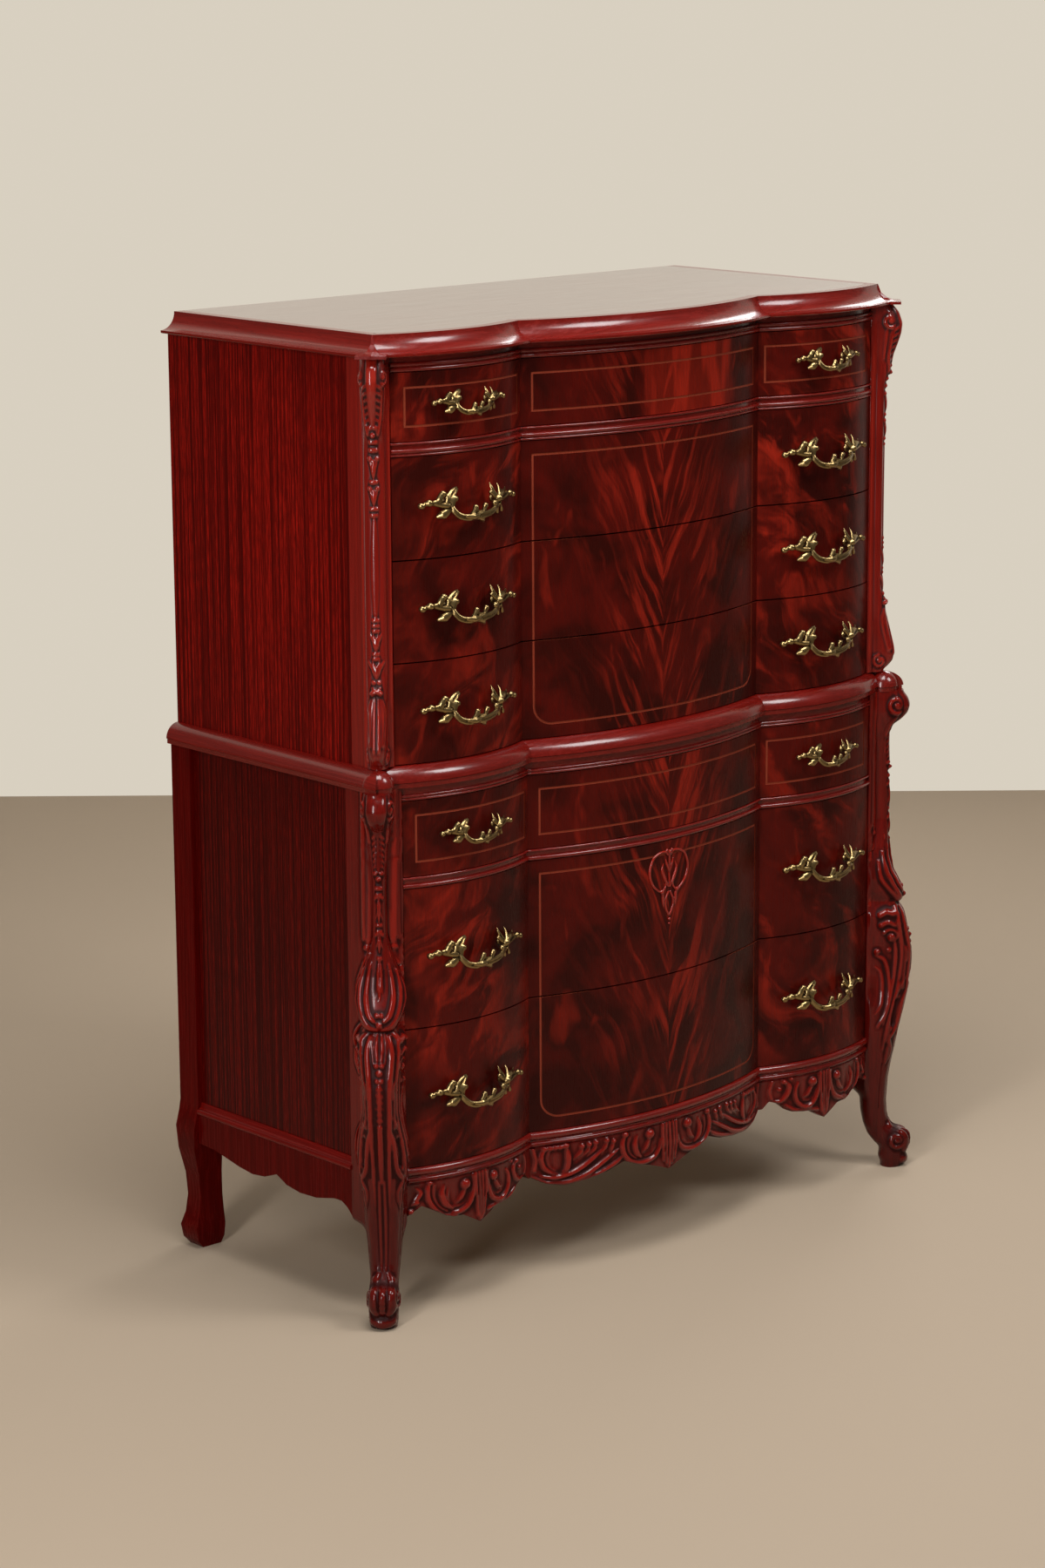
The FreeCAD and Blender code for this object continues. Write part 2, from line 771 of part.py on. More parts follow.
def leg_section(height, reach, inner, half):
    """The free leg's section on the same six corners."""
    shoulder = reach - half
    nose = [diagonal(shoulder, half, height), diagonal(reach, 0, height), diagonal(shoulder, -half, height)]
    low = (shoulder + 2 * inner) / 3
    spots = [
        diagonal(low, -half, height),
        diagonal(inner, -half * inner_edge_share, height),
        diagonal(inner, half * inner_edge_share, height),
        diagonal(low, half, height),
    ]
    lines = [Part.LineSegment(a, b).toShape() for a, b in zip([nose[2]] + spots, spots + [nose[0]])]
    return Part.Wire([Part.Arc(*nose).toShape()] + lines)


upper_block = [
    (upper_face_end, corner_line - upper_end_step + bead_small),
    (upper_face_end, post_back),
    (upper_side_out, post_back),
]
upper_side_end = (upper_side_out, post_back - side_end_step)
upper_sections = [
    post_section(
        waist_top + height_share * (soffit - waist_top),
        reach_share * upper_post_reach,
        half_share * upper_post_half,
        upper_block,
        upper_side_end,
    )
    for height_share, reach_share, half_share in upper_post_shares
]
named_pair("upper_front_posts", Part.makeLoft(upper_sections, True, True))

lower_block = [
    (lower_face_end, corner_line - lower_end_step + bead_small),
    (lower_face_end, post_back),
    (lower_side_out, post_back),
]
lower_side_end = (lower_side_out, post_back - side_end_step)
lower_sections = [
    post_section(
        apron_top + height_share * (waist_base - apron_top),
        reach_share * lower_post_reach,
        half_share * lower_post_half,
        lower_block,
        lower_side_end,
    )
    for height_share, reach_share, half_share in lower_post_shares
]
leg_sections = [
    leg_section(
        height_share * apron_top,
        reach_share * lower_post_reach,
        inner_share * leg_inset,
        half_share * lower_post_half,
    )
    for height_share, reach_share, inner_share, half_share in leg_shares
]
named_pair("front_legs", Part.makeLoft(lower_sections + leg_sections, True, True))

# Rear legs: straight stiles above, a slight knee, ankle and toe below
rear_leg_shares = [
    # height share of the apron's top, outward step in knee reaches, inner step in foot overhangs,
    # front and back steps in foot overhangs
    (1.11, 0.0, 0.0, 0.0, 0.0),
    (1.03, 0.35, 0.0, 0.0, 0.0),
    (0.92, 1.0, 0.0, 0.0, 0.3),
    (0.75, 0.5, -0.7, 2.0, 0.7),
    (0.55, -0.7, -1.0, 3.3, 0.0),
    (0.38, -1.0, -1.3, 3.7, -0.3),
    (0.25, -0.5, -1.7, 3.3, 0.0),
    (0.155, 0.35, -1.7, 2.3, 1.0),
    (0.06, -0.1, -1.3, 2.7, 0.7),
    (0.0, -1.3, 0.0, 3.7, -0.3),
]


def rear_section(height, out_step, in_step, front_step, back_step):
    out = lower_side_out + out_step * rear_knee_out
    inner = rear_stile_in + in_step * foot_back_overhang
    front = rear_stile_front + front_step * foot_back_overhang
    back = case_back + back_step * foot_back_overhang
    spots = [Vector(out, front, height), Vector(out, back, height)]
    spots += [Vector(inner, back, height), Vector(inner, front, height)]
    return Part.makePolygon(spots + spots[:1])


rear_sections = [rear_section(waist_base, 0, 0, 0, 0)]
rear_sections += [rear_section(steps[0] * apron_top, *steps[1:]) for steps in rear_leg_shares]
named_pair("rear_legs", Part.makeLoft(rear_sections, True, True))

# Aprons with shaped lower edges
centre_apron_shares = [
    # share of the half centre bay, share of the drop
    (0.0, 0.97),
    (0.052, 0.911),
    (0.166, 0.805),
    (0.253, 0.746),
    (0.367, 0.627),
    (0.493, 0.746),
    (0.638, 0.817),
    (0.795, 0.852),
    (0.908, 0.781),
    (0.996, 0.639),
]
side_bay_apron_shares = [
    # share of the side bay, share of the drop
    (0.026, 0.639),
    (0.070, 0.509),
    (0.157, 0.592),
    (0.231, 0.757),
    (0.322, 0.793),
    (0.375, 0.805),
    (0.505, 1.0),
    (0.636, 0.805),
    (0.710, 0.793),
    (0.758, 0.751),
    (0.841, 0.627),
    (0.915, 0.521),
    (1.0, 0.67),
]
half_edge = [(share * face_crease_out, drop) for share, drop in centre_apron_shares]
half_edge += [(face_crease_out + share * side_bay_wide, drop) for share, drop in side_bay_apron_shares]
right_edge = [(x, apron_top - drop * apron_drop) for x, drop in half_edge]
left_edge = [(-x, z) for x, z in right_edge[:0:-1]]
apron_outline = [(-lower_face_end, apron_top)] + left_edge + right_edge + [(lower_face_end, apron_top)]
apron_low = apron_top - apron_drop
strip_profile = [
    (apron_proud - apron_thick, apron_low),
    (apron_proud, apron_low),
    (apron_proud, apron_top),
    (apron_proud - apron_thick, apron_top),
]
apron_spots = [Vector(x, -overall_depth, z) for x, z in apron_outline]
apron_face = Part.Face(Part.makePolygon(apron_spots + apron_spots[:1]))
apron_shape = swept_front(lower_plan, strip_profile).common(apron_face.extrude(Vector(0, overall_depth, 0)))
named("front_apron", feature("front_apron", apron_shape))

side_apron_shares = [
    # share of the run from front leg to rear stile, share of the drop
    (0.0, 1.09),
    (0.028, 0.915),
    (0.065, 0.789),
    (0.112, 0.796),
    (0.228, 0.963),
    (0.334, 0.994),
    (0.419, 0.915),
    (0.483, 0.730),
    (0.562, 0.917),
    (0.643, 0.972),
    (0.730, 0.907),
    (0.840, 0.767),
    (0.902, 0.694),
    (1.0, 0.667),
]
side_length = rear_stile_front - post_back
side_outline = [(post_back, base_rail_top)]
side_outline += [
    (post_back + share * side_length, apron_top - drop * side_apron_drop) for share, drop in side_apron_shares
]
side_outline += [(rear_stile_front, base_rail_top)]
side_apron = sketched_body("side_apron", "YZ_Plane", outline(side_outline), "lower_frame_thick")
place(side_apron, x="-lower_side_out")
named("side_aprons", pair("side_aprons", side_apron))

# Drawers: opening base and top, plan, whether the small pull is used, and the line borders
upper_lines = (waist_top + line_margin, upper_deep_top - line_margin)
lower_lines = (base_rail_top + line_margin, lower_deep_top - line_margin)
drawers = [
    ("drawer_1", "upper", "upper_frieze_base", "upper_frieze_height", True),
    ("drawer_2", "upper", "upper_seam_high", "upper_deep_height", False),
    ("drawer_3", "upper", "upper_seam_low", "upper_deep_height", False),
    ("drawer_4", "upper", "waist_top", "upper_deep_height", False),
    ("drawer_5", "lower", "lower_frieze_base", "lower_frieze_height", True),
    ("drawer_6", "lower", "lower_seam", "lower_deep_height", False),
    ("drawer_7", "lower", "base_rail_top", "lower_deep_height", False),
]
plans = {
    "upper": (upper_plan, upper_face_end, upper_front_back),
    "lower": (lower_plan, lower_face_end, lower_front_back),
}


def ring(left, right, low, high, round_foot=0):
    """A rectangular frame, one line wide, run through the piece from front to back."""

    def loop(inset):
        bend = max(round_foot - inset, 0)
        x0, x1, z0, z1 = left + inset, right - inset, low + inset, high - inset
        if not bend:
            spots = [(x0, z0), (x1, z0), (x1, z1), (x0, z1)]
            spots = [Vector(x, -overall_depth, z) for x, z in spots]
            return Part.makePolygon(spots + spots[:1])
        near = bend * (1 - forty_five)
        spots = [
            (x0, z1),
            (x0, z0 + bend),
            (x0 + near, z0 + near),
            (x0 + bend, z0),
            (x1 - bend, z0),
            (x1 - near, z0 + near),
            (x1, z0 + bend),
            (x1, z1),
        ]
        a, b, c, d, e, f, g, k = [Vector(x, -overall_depth, z) for x, z in spots]
        parts = [Part.LineSegment(a, b), Part.Arc(b, c, d), Part.LineSegment(d, e)]
        parts += [Part.Arc(e, f, g), Part.LineSegment(g, k), Part.LineSegment(k, a)]
        return Part.Wire([part.toShape() for part in parts])

    through = Vector(0, overall_depth, 0)
    outer = Part.Face(loop(0)).extrude(through)
    return outer.cut(Part.Face(loop(line_wide)).extrude(through))


def routed_lines(plan, end_out, low, high, small):
    """The shallow lines cut into one drawer front."""
    skin_profile = [
        (-line_deep, low),
        (small_over, low),
        (small_over, high),
        (-line_deep, high),
    ]
    skin = swept_front(plan, skin_profile)
    if small:
        inner = face_crease_out + line_crease_margin
        outer = end_out - line_end_margin
        middle = face_crease_out - line_centre_margin
        z0, z1 = low + line_margin, high - line_margin
        rings = [ring(-outer, -inner, z0, z1), ring(-middle, middle, z0, z1), ring(inner, outer, z0, z1)]
    else:
        z0, z1 = upper_lines if plan is upper_plan else lower_lines
        middle = face_crease_out - line_centre_margin
        rings = [ring(-middle, middle, z0, z1, line_corner)]
    return [skin.common(one) for one in rings]


def along_y(x, y, z, radius, length):
    return Part.makeCylinder(radius, length, Vector(x, y, z), Vector(0, -1, 0))


left_leaf_shares = [(0.2, -0.35), (0.0, -1.0), (-0.3, -0.5), (-1.0, -0.25), (-0.95, 0.2), (-0.5, 0.35)]
left_leaf_shares += [(-0.45, 0.95), (-0.1, 0.45), (0.35, 1.0), (0.3, 0.1)]
right_leaf_shares = [(-0.2, -0.35), (0.1, -1.0), (0.35, -0.4), (1.0, -0.2), (0.95, 0.2), (0.5, 0.35)]
right_leaf_shares += [(0.4, 0.95), (0.1, 0.5), (-0.3, 1.15), (-0.25, 0.1)]


def leaf_shell(plan, low, high):
    """The thin curved layer in front of the drawer that the leaf sprays lie in."""
    outer = pull_leaf_stand + pull_leaf_thick
    return swept_front(plan, [(pull_leaf_stand, low), (outer, low), (outer, high), (pull_leaf_stand, high)])


def pull(plan, x, z, share, front, shell):
    """One casting: two posts, a hanging bow between them and a leaf spray at each end."""
    half = pull_bore * share / 2
    stand = pull_stand * (1 + share) / 2
    drop = pull_bow_drop * share
    bow_radius = pull_bow_radius * (1 + share) / 2
    face_y = plan.right.front(abs(x))
    bow_y = face_y - stand
    reach = (half * half + drop * drop) / (2 * drop)
    centre = Vector(x, bow_y, z - drop + reach)
    start = Vector(x - half, bow_y, z)
    turn = 2 * math.asin(half / reach)
    tangent = Vector(0, 1, 0).cross(start - centre)
    section = Part.Face(Part.Wire(Part.Circle(start, tangent, bow_radius).toShape()))
    solid = section.revolve(centre, Vector(0, -1, 0), math.degrees(turn))
    sprays = ((-half, left_leaf_shares), (half, right_leaf_shares))
    for out, leaf_shares in sprays:
        post_x = x + out
        inside = plan.right.front(abs(post_x)) + small_over
        solid = solid.fuse(along_y(post_x, inside, z, pull_post_radius, inside - bow_y))
        solid = solid.fuse(Part.makeSphere(pull_post_radius, Vector(post_x, bow_y, z)))
        spots = [
            Vector(post_x + along * pull_leaf_long * share, -overall_depth, z + up * pull_leaf_high * share)
            for along, up in leaf_shares
        ]
        leaf = Part.Face(Part.makePolygon(spots + spots[:1])).extrude(Vector(0, overall_depth, 0))
        solid = solid.fuse(leaf.common(shell))
    solid = solid.cut(front)
    for out in (-half, half):
        hole_y = plan.right.front(abs(x + out)) + small_over
        depth = small_over + bolt_grip + bolt_play
        solid = solid.cut(along_y(x + out, hole_y, z, bolt_radius + bolt_play, depth))
    return solid.removeSplitter()


def bolt(plan, x, z, front_back):
    """A machine screw from inside the drawer into one pull post."""
    tip = plan.right.front(abs(x)) - bolt_grip
    head = along_y(x, front_back + bolt_head_thick, z, bolt_head_radius, bolt_head_thick)
    return head.fuse(along_y(x, front_back, z, bolt_radius, front_back - tip)).removeSplitter()


for name, case, base, height, small in drawers:
    plan, end_out, front_back = plans[case]
    face_end = f"{case}_face_end"
    back_of_front = f"{case}_front_back"
    share = small_pull_share if small else 1
    low = sizes[base] + front_gap
    high = sizes[base] + sizes[height] - front_gap
    front_body = fronted_body(
        name + "_front_blank",
        plan,
        end_out - front_gap,
        front_back,
        f"{height} - 2 * front_gap",
        f"{base} + front_gap",
    )
    doc.recompute()
    centre_z = (low + high) / 2 + pull_rise
    posts = [side * pull_out + end * pull_bore * share / 2 for side in (-1, 1) for end in (-1, 1)]
    depth = 2 * overall_depth
    holes = [along_y(x, overall_depth, centre_z, bolt_radius + bolt_play, depth) for x in posts]
    lines = routed_lines(plan, end_out, low, high, small)
    cutter = feature(name + "_cutter", Part.makeCompound(holes + lines))
    front = doc.addObject("Part::Cut", name + "_front")
    front.Base = front_body
    front.Tool = cutter
    named(name + "_front", front)

    blank = front_body.Shape
    shell = leaf_shell(plan, low, high)
    castings = [pull(plan, side * pull_out, centre_z, share, blank, shell) for side in (-1, 1)]
    bolts = [bolt(plan, x, centre_z, front_back) for x in posts]
    named(name + "_pulls", feature(name + "_pulls", Part.makeCompound(castings + bolts)))

    box_out = f"({face_end} - box_inset)"
    box_base = f"{base} + box_lift"
    box_high = f"{height} - box_lift - box_drop"
    side_blank = board(
        name + "_side_blank", "box_side_thick", "box_length", box_high, f"-{box_out}", back_of_front, box_base
    )
    side_groove = board(
        name + "_side_groove",
        "groove_deep",
        "box_length - box_back_thick",
        "box_bottom_thick",
        f"-{box_out} + box_side_thick - groove_deep",
        back_of_front,
        f"{box_base} + groove_up",
    )
    side = doc.addObject("Part::Cut", name + "_side")
    side.Base = side_blank
    side.Tool = side_groove
    named(name + "_sides", pair(name + "_sides", side))
    back_blank = board(
        name + "_back",
        f"2 * ({box_out} - box_side_thick)",
        "box_back_thick",
        f"{box_high} - groove_up - box_bottom_thick",
        f"-{box_out} + box_side_thick",
        f"{back_of_front} + box_length - box_back_thick",
        f"{box_base} + groove_up + box_bottom_thick",
    )
    named(name + "_back", back_blank)
    bottom = board(
        name + "_bottom",
        f"2 * ({box_out} - box_side_thick + groove_deep)",
        "box_length - box_back_thick",
        "box_bottom_thick",
        f"-{box_out} + box_side_thick - groove_deep",
        back_of_front,
        f"{box_base} + groove_up",
    )
    named(name + "_bottom", bottom)

# Runners: a ledge under each drawer side with a guide beside it, and stops on the back
runners = {"upper": [], "lower": []}
stops = []
for name, case, base, height, small in drawers:
    run_back = "back_panel_front" if case == "upper" else "rear_stile_front"
    wall = f"{case}_inner"
    run = f"{run_back} - post_back"
    ledge = board(
        name + "_ledge",
        f"{wall} - {case}_face_end + box_inset + ledge_under",
        run,
        "ledge_thick",
        f"-{wall}",
        "post_back",
        f"{base} + box_lift - running_gap - ledge_thick",
    )
    guide = board(
        name + "_guide",
        f"{wall} - {case}_face_end + box_inset - running_gap",
        run,
        "guide_above + running_gap",
        f"-{wall}",
        "post_back",
        f"{base} + box_lift - running_gap",
    )
    runner = doc.addObject("Part::Fuse", name + "_runner")
    runner.Base = ledge
    runner.Tool = guide
    runners[case] += [runner, mirrored(runner)]
    stop = board(
        name + "_stop",
        "stop_thick",
        f"back_panel_front - {case}_front_back - box_length - running_gap",
        "stop_height",
        f"-{case}_face_end + box_inset",
        f"{case}_front_back + box_length + running_gap",
        f"{base} + box_lift + groove_up + box_bottom_thick",
    )
    stops += [stop, mirrored(stop)]
named("upper_runners", group("upper_runners", runners["upper"]))
named("lower_runners", group("lower_runners", runners["lower"]))
named("drawer_stops", group("drawer_stops", stops))

# Check the whole document, then write each sub-part
doc.recompute()
for thing in doc.Objects:
    if "Invalid" in thing.State or "Error" in thing.State:
        raise RuntimeError(f"{thing.Name} did not compute")
os.makedirs("parts", exist_ok=True)
for label, thing in nodes.items():
    shape = thing.Shape
    if shape.isNull() or not shape.isValid() or not shape.Solids:
        raise RuntimeError(f"{label} has no valid solid")
    print(label, len(shape.Solids), round(shape.Volume / 1000, 1))
    shape.exportStep(f"parts/{label}.step")
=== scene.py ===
import math

import bpy
import numpy as np
from mathutils import Matrix, Vector


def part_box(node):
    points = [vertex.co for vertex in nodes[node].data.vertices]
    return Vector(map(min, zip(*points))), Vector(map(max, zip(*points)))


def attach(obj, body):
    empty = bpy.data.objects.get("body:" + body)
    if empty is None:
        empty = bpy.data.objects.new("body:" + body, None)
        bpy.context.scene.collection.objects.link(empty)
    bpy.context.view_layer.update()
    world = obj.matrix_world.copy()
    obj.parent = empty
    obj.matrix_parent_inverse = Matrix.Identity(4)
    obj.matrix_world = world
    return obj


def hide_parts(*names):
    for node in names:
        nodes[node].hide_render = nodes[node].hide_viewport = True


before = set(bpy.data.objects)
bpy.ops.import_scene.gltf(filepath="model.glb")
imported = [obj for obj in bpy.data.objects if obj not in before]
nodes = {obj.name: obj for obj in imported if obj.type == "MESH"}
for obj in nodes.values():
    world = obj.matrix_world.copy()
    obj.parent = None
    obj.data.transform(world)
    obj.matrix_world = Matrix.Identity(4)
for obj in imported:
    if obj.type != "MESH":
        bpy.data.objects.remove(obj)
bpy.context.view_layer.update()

mm = 0.001

# Camera
# The chest is seen from its left front, a little above the top, through a long lens,
# as a photographer stands well back to keep the uprights straight.
lens_length = 88.99
camera_place = Vector((-3.7239, -4.0468, 1.8971))
turned_right = math.radians(42.122)
tipped_down = math.radians(12.814)
rolled = math.radians(-0.347)
aim = Vector((
    math.sin(turned_right) * math.cos(tipped_down),
    math.cos(turned_right) * math.cos(tipped_down),
    -math.sin(tipped_down),
))
level = Vector((math.cos(turned_right), -math.sin(turned_right), 0))
upright = level.cross(aim)
right_hand = math.cos(rolled) * level + math.sin(rolled) * upright
overhead = math.cos(rolled) * upright - math.sin(rolled) * level
turn = Matrix((right_hand, overhead, -aim)).transposed()
bpy.ops.object.camera_add(location=camera_place, rotation=turn.to_euler())
camera = bpy.context.object
camera.name = "camera"
camera.data.lens = lens_length
camera.data.clip_end = 50
bpy.context.scene.camera = camera


# Boards inside the case
# Plain pale boards, runners and stops that carry the drawers, sawn and planed but not polished.
# They are glued and screwed between the side panels.
class Wiring:
    """Short words for adding and joining the nodes of one shader tree."""

    def __init__(self, tree):
        self.tree = tree

    def add(self, kind, **settings):
        node = self.tree.nodes.new(kind)
        for name, value in settings.items():
            setattr(node, name, value)
        return node

    def feed(self, socket, value):
        if isinstance(value, bpy.types.NodeSocket):
            self.tree.links.new(value, socket)
        else:
            socket.default_value = value

    def fed(self, kind, *values, **settings):
        """The first output of a new node whose first sockets get the values."""
        node = self.add(kind, **settings)
        for socket, value in zip(node.inputs, values):
            self.feed(socket, value)
        return node.outputs[0]

    def maths(self, operation, first, second=0.0, clamp=False):
        return self.fed("ShaderNodeMath", first, second, operation=operation, use_clamp=clamp)

    def times(self, first, second, clamp=False):
        return self.maths("MULTIPLY", first, second, clamp)

    def plus(self, first, second, clamp=False):
        return self.maths("ADD", first, second, clamp)

    def minus(self, first, second):
        return self.maths("SUBTRACT", first, second)

    def stretch(self, value, low, high, to_low=0.0, to_high=1.0):
        limits = low, high, to_low, to_high
        return self.fed("ShaderNodeMapRange", value, *limits, interpolation_type="SMOOTHSTEP")

    def point(self, x, y, z):
        return self.fed("ShaderNodeCombineXYZ", x, y, z)

    def parts(self, place):
        node = self.add("ShaderNodeSeparateXYZ")
        self.feed(node.inputs[0], place)
        return node.outputs

    def scaled(self, place, factors):
        return self.fed("ShaderNodeVectorMath", place, factors, operation="MULTIPLY")

    def mapped(self, rotation=(0, 0, 0)):
        place = self.add("ShaderNodeTexCoord").outputs["Object"]
        return self.fed("ShaderNodeMapping", place, (0, 0, 0), rotation)

    def cloud(self, place, scale, detail, rough, warp=0.0):
        node = self.add("ShaderNodeTexNoise")
        self.feed(node.inputs["Vector"], place)
        self.feed(node.inputs["Scale"], scale)
        self.feed(node.inputs["Detail"], detail)
        self.feed(node.inputs["Roughness"], rough)
        self.feed(node.inputs["Distortion"], warp)
        return node.outputs[0]

    def blend(self, share, first, second):
        node = self.add("ShaderNodeMix", data_type="RGBA")
        self.feed(node.inputs["Factor"], share)
        self.feed(node.inputs[6], first)
        self.feed(node.inputs[7], second)
        return node.outputs[2]

    def mark(self, name):
        return self.add("ShaderNodeAttribute", attribute_name=name).outputs["Fac"]

    def group(self, tree, place):
        node = self.add("ShaderNodeGroup", node_tree=tree)
        self.feed(node.inputs["Place"], place)
        return node.outputs


def new_group(name, *masks):
    """A node group that turns a place into masks, each under its own name."""
    tree = bpy.data.node_groups.new(name, "ShaderNodeTree")
    tree.interface.new_socket(name="Place", in_out="INPUT", socket_type="NodeSocketVector")
    for mask in masks:
        tree.interface.new_socket(name=mask, in_out="OUTPUT", socket_type="NodeSocketFloat")
    wires = Wiring(tree)
    return tree, wires, wires.add("NodeGroupInput").outputs["Place"], wires.add("NodeGroupOutput").inputs


def new_finish(name, roughness, gloss=0.5, coat=0.0, coat_roughness=0.15):
    made = bpy.data.materials.new(name)
    made.use_nodes = True
    shader = made.node_tree.nodes["Principled BSDF"]
    shader.inputs["Roughness"].default_value = roughness
    shader.inputs["Specular IOR Level"].default_value = gloss
    shader.inputs["Coat Weight"].default_value = coat
    shader.inputs["Coat Roughness"].default_value = coat_roughness
    return made, Wiring(made.node_tree), shader


def add_bump(wires, shader, height, strength, distance):
    node = wires.add("ShaderNodeBump")
    node.inputs["Strength"].default_value = strength
    node.inputs["Distance"].default_value = distance
    wires.feed(node.inputs["Height"], height)
    wires.feed(shader.inputs["Normal"], node.outputs[0])


# Fibres and pores that run along Z of the place they are given
fibres, wires, place, masks = new_group("wood_fibre", "Streak", "Pore")
wires.feed(masks["Streak"], wires.cloud(wires.scaled(place, (1, 1, 0.03)), 260.0, 4.0, 0.6))
pore = wires.cloud(wires.scaled(place, (1, 1, 0.06)), 1300.0, 1.0, 0.5)
wires.feed(masks["Pore"], wires.stretch(pore, 0.6, 0.72))
along_x = (0, math.pi / 2, 0)
along_y = (math.pi / 2, 0, 0)
along_z = (0, 0, 0)


def pale_board(name, rotation):
    made, wires, shader = new_finish(name, 0.62)
    streak, pore = wires.group(fibres, wires.mapped(rotation))
    colour = wires.blend(streak, (0.36, 0.21, 0.1, 1), (0.62, 0.42, 0.23, 1))
    colour = wires.blend(wires.times(pore, 0.5), colour, (0.24, 0.12, 0.05, 1))
    wires.feed(shader.inputs["Base Color"], colour)
    add_bump(wires, shader, streak, 0.25, 0.4 * mm)
    return made


def give(node_names, finish):
    for name in node_names:
        materials = nodes[name].data.materials
        materials.clear()
        materials.append(finish)


pale_across = pale_board("pale_board_across", along_x)
pale_deep = pale_board("pale_board_deep", along_y)
give(["lower_top_board", "upper_bottom_board", "lower_bottom_board"], pale_across)
give(["upper_back_panel", "lower_back_panel"], pale_across)
give(["upper_runners", "lower_runners", "drawer_stops"], pale_deep)


# Drawer boxes
# Sides, back and bottom of thin pale boards, grooved and glued behind each front.
# They stay unpolished, so only their grain shows when a drawer is open.
drawers = [f"drawer_{number}" for number in range(1, 8)]
give([drawer + "_sides" for drawer in drawers], pale_deep)
give([drawer + "_back" for drawer in drawers], pale_across)
give([drawer + "_bottom" for drawer in drawers], pale_deep)


# Side panels and top
# Mahogany veneer with a ribbon stripe, laid upright on the sides and lengthwise on the top,
# stained deep red and French polished.
def ribbon_veneer(name, rotation, dark, bright, roughness, gloss, coat):
    made, wires, shader = new_finish(name, roughness, gloss, coat, 0.2)
    place = wires.mapped(rotation)
    streak, pore = wires.group(fibres, place)
    ribbon = wires.stretch(wires.cloud(wires.scaled(place, (1, 1, 0.006)), 230.0, 2.0, 0.7), 0.38, 0.62)
    fleck = wires.stretch(wires.cloud(wires.scaled(place, (1, 1, 0.07)), 560.0, 2.0, 0.6), 0.42, 0.64)
    light = wires.times(ribbon, wires.plus(0.35, wires.times(fleck, 0.65)))
    colour = wires.blend(light, dark, bright)
    uneven = wires.stretch(wires.cloud(place, 2.6, 2.0, 0.5), 0.3, 0.7, 0.0, 0.35)
    colour = wires.blend(uneven, colour, dark)
    colour = wires.blend(wires.times(pore, 0.5), colour, (0.012, 0.0012, 0.0008, 1))
    wires.feed(shader.inputs["Base Color"], colour)
    grain_roughness = wires.stretch(streak, 0.2, 0.8, roughness - 0.05, roughness + 0.08)
    wires.feed(shader.inputs["Roughness"], grain_roughness)
    add_bump(wires, shader, pore, 0.1, -0.2 * mm)
    return made


upper_veneer = ribbon_veneer("ribbon_mahogany_upper", along_z, (0.05, 0.001, 0.0006, 1),
                             (0.26, 0.006, 0.003, 1), 0.3, 0.08, 0.0)
# The lower sides take the same veneer in darker tones: painted shade, as less light falls below the waist.
shaded_lower_veneer = ribbon_veneer("ribbon_mahogany_lower_shaded", along_z, (0.026, 0.0006, 0.0004, 1),
                             (0.12, 0.0028, 0.0014, 1), 0.3, 0.08, 0.0)
top_veneer = ribbon_veneer("ribbon_mahogany_top", along_x, (0.06, 0.0035, 0.002, 1),
                           (0.13, 0.009, 0.005, 1), 0.16, 0.5, 1.0)
give(["upper_side_panels"], upper_veneer)
give(["lower_side_panels"], shaded_lower_veneer)


def select_only(thing):
    bpy.ops.object.select_all(action="DESELECT")
    thing.select_set(True)
    bpy.context.view_layer.objects.active = thing


def fit(piece, finish, body, node_name=None):
    """Finishes a piece and fixes it to its body, in place of the node if one is named."""
    piece.data.materials.clear()
    piece.data.materials.append(finish)
    if node_name:
        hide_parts(node_name)
    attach(piece, body)


weld_gap = 0.02 * mm


def polished_copy(node_name, finish, body="root", angle=28):
    """A copy of a node with its loose faces joined, so that its curves shade smoothly."""
    thing = nodes[node_name].copy()
    thing.data = nodes[node_name].data.copy()
    for key in list(thing.keys()):
        del thing[key]
    thing.name = node_name + "_polished"
    thing.parent = None
    bpy.context.scene.collection.objects.link(thing)
    select_only(thing)
    bpy.ops.object.mode_set(mode="EDIT")
    bpy.ops.mesh.select_all(action="SELECT")
    bpy.ops.mesh.remove_doubles(threshold=weld_gap)
    bpy.ops.object.mode_set(mode="OBJECT")
    if "custom_normal" in thing.data.attributes:
        thing.data.attributes.remove(thing.data.attributes["custom_normal"])
    bpy.ops.object.shade_smooth_by_angle(angle=math.radians(angle))
    fit(thing, finish, body, node_name)
    return thing


polished_copy("top_board", top_veneer)


# Mouldings and rails
# Solid red mahogany run to a cove, a torus and small beads, bent round the serpentine front.
# They are glued on the case and rubbed to a soft gloss, so their arrises show paler.
def red_moulding(name, rotation, dark, bright, gloss=0.26, coat=0.5):
    made, wires, shader = new_finish(name, 0.2, gloss, coat, 0.13)
    streak, pore = wires.group(fibres, wires.mapped(rotation))
    colour = wires.blend(wires.stretch(streak, 0.3, 0.7), dark, bright)
    colour = wires.blend(wires.times(pore, 0.4), colour, (0.02, 0.001, 0.0006, 1))
    wires.feed(shader.inputs["Base Color"], colour)
    wires.feed(shader.inputs["Roughness"], wires.stretch(streak, 0.2, 0.8, 0.2, 0.32))
    add_bump(wires, shader, streak, 0.012, 0.2 * mm)
    return made


run_tones = (0.1, 0.003, 0.0016, 1), (0.14, 0.0044, 0.0023, 1)
moulding_front = red_moulding("red_moulding_front", along_x, *run_tones)
moulding_side = red_moulding("red_moulding_side", along_y, *run_tones)
for name in ("cornice_front", "waist_moulding_front", "upper_top_rail", "upper_mid_rail",
             "lower_top_rail", "lower_mid_rail", "lower_base_rail"):
    polished_copy(name, moulding_front)
for name in ("cornice_sides", "waist_moulding_sides"):
    polished_copy(name, moulding_side)
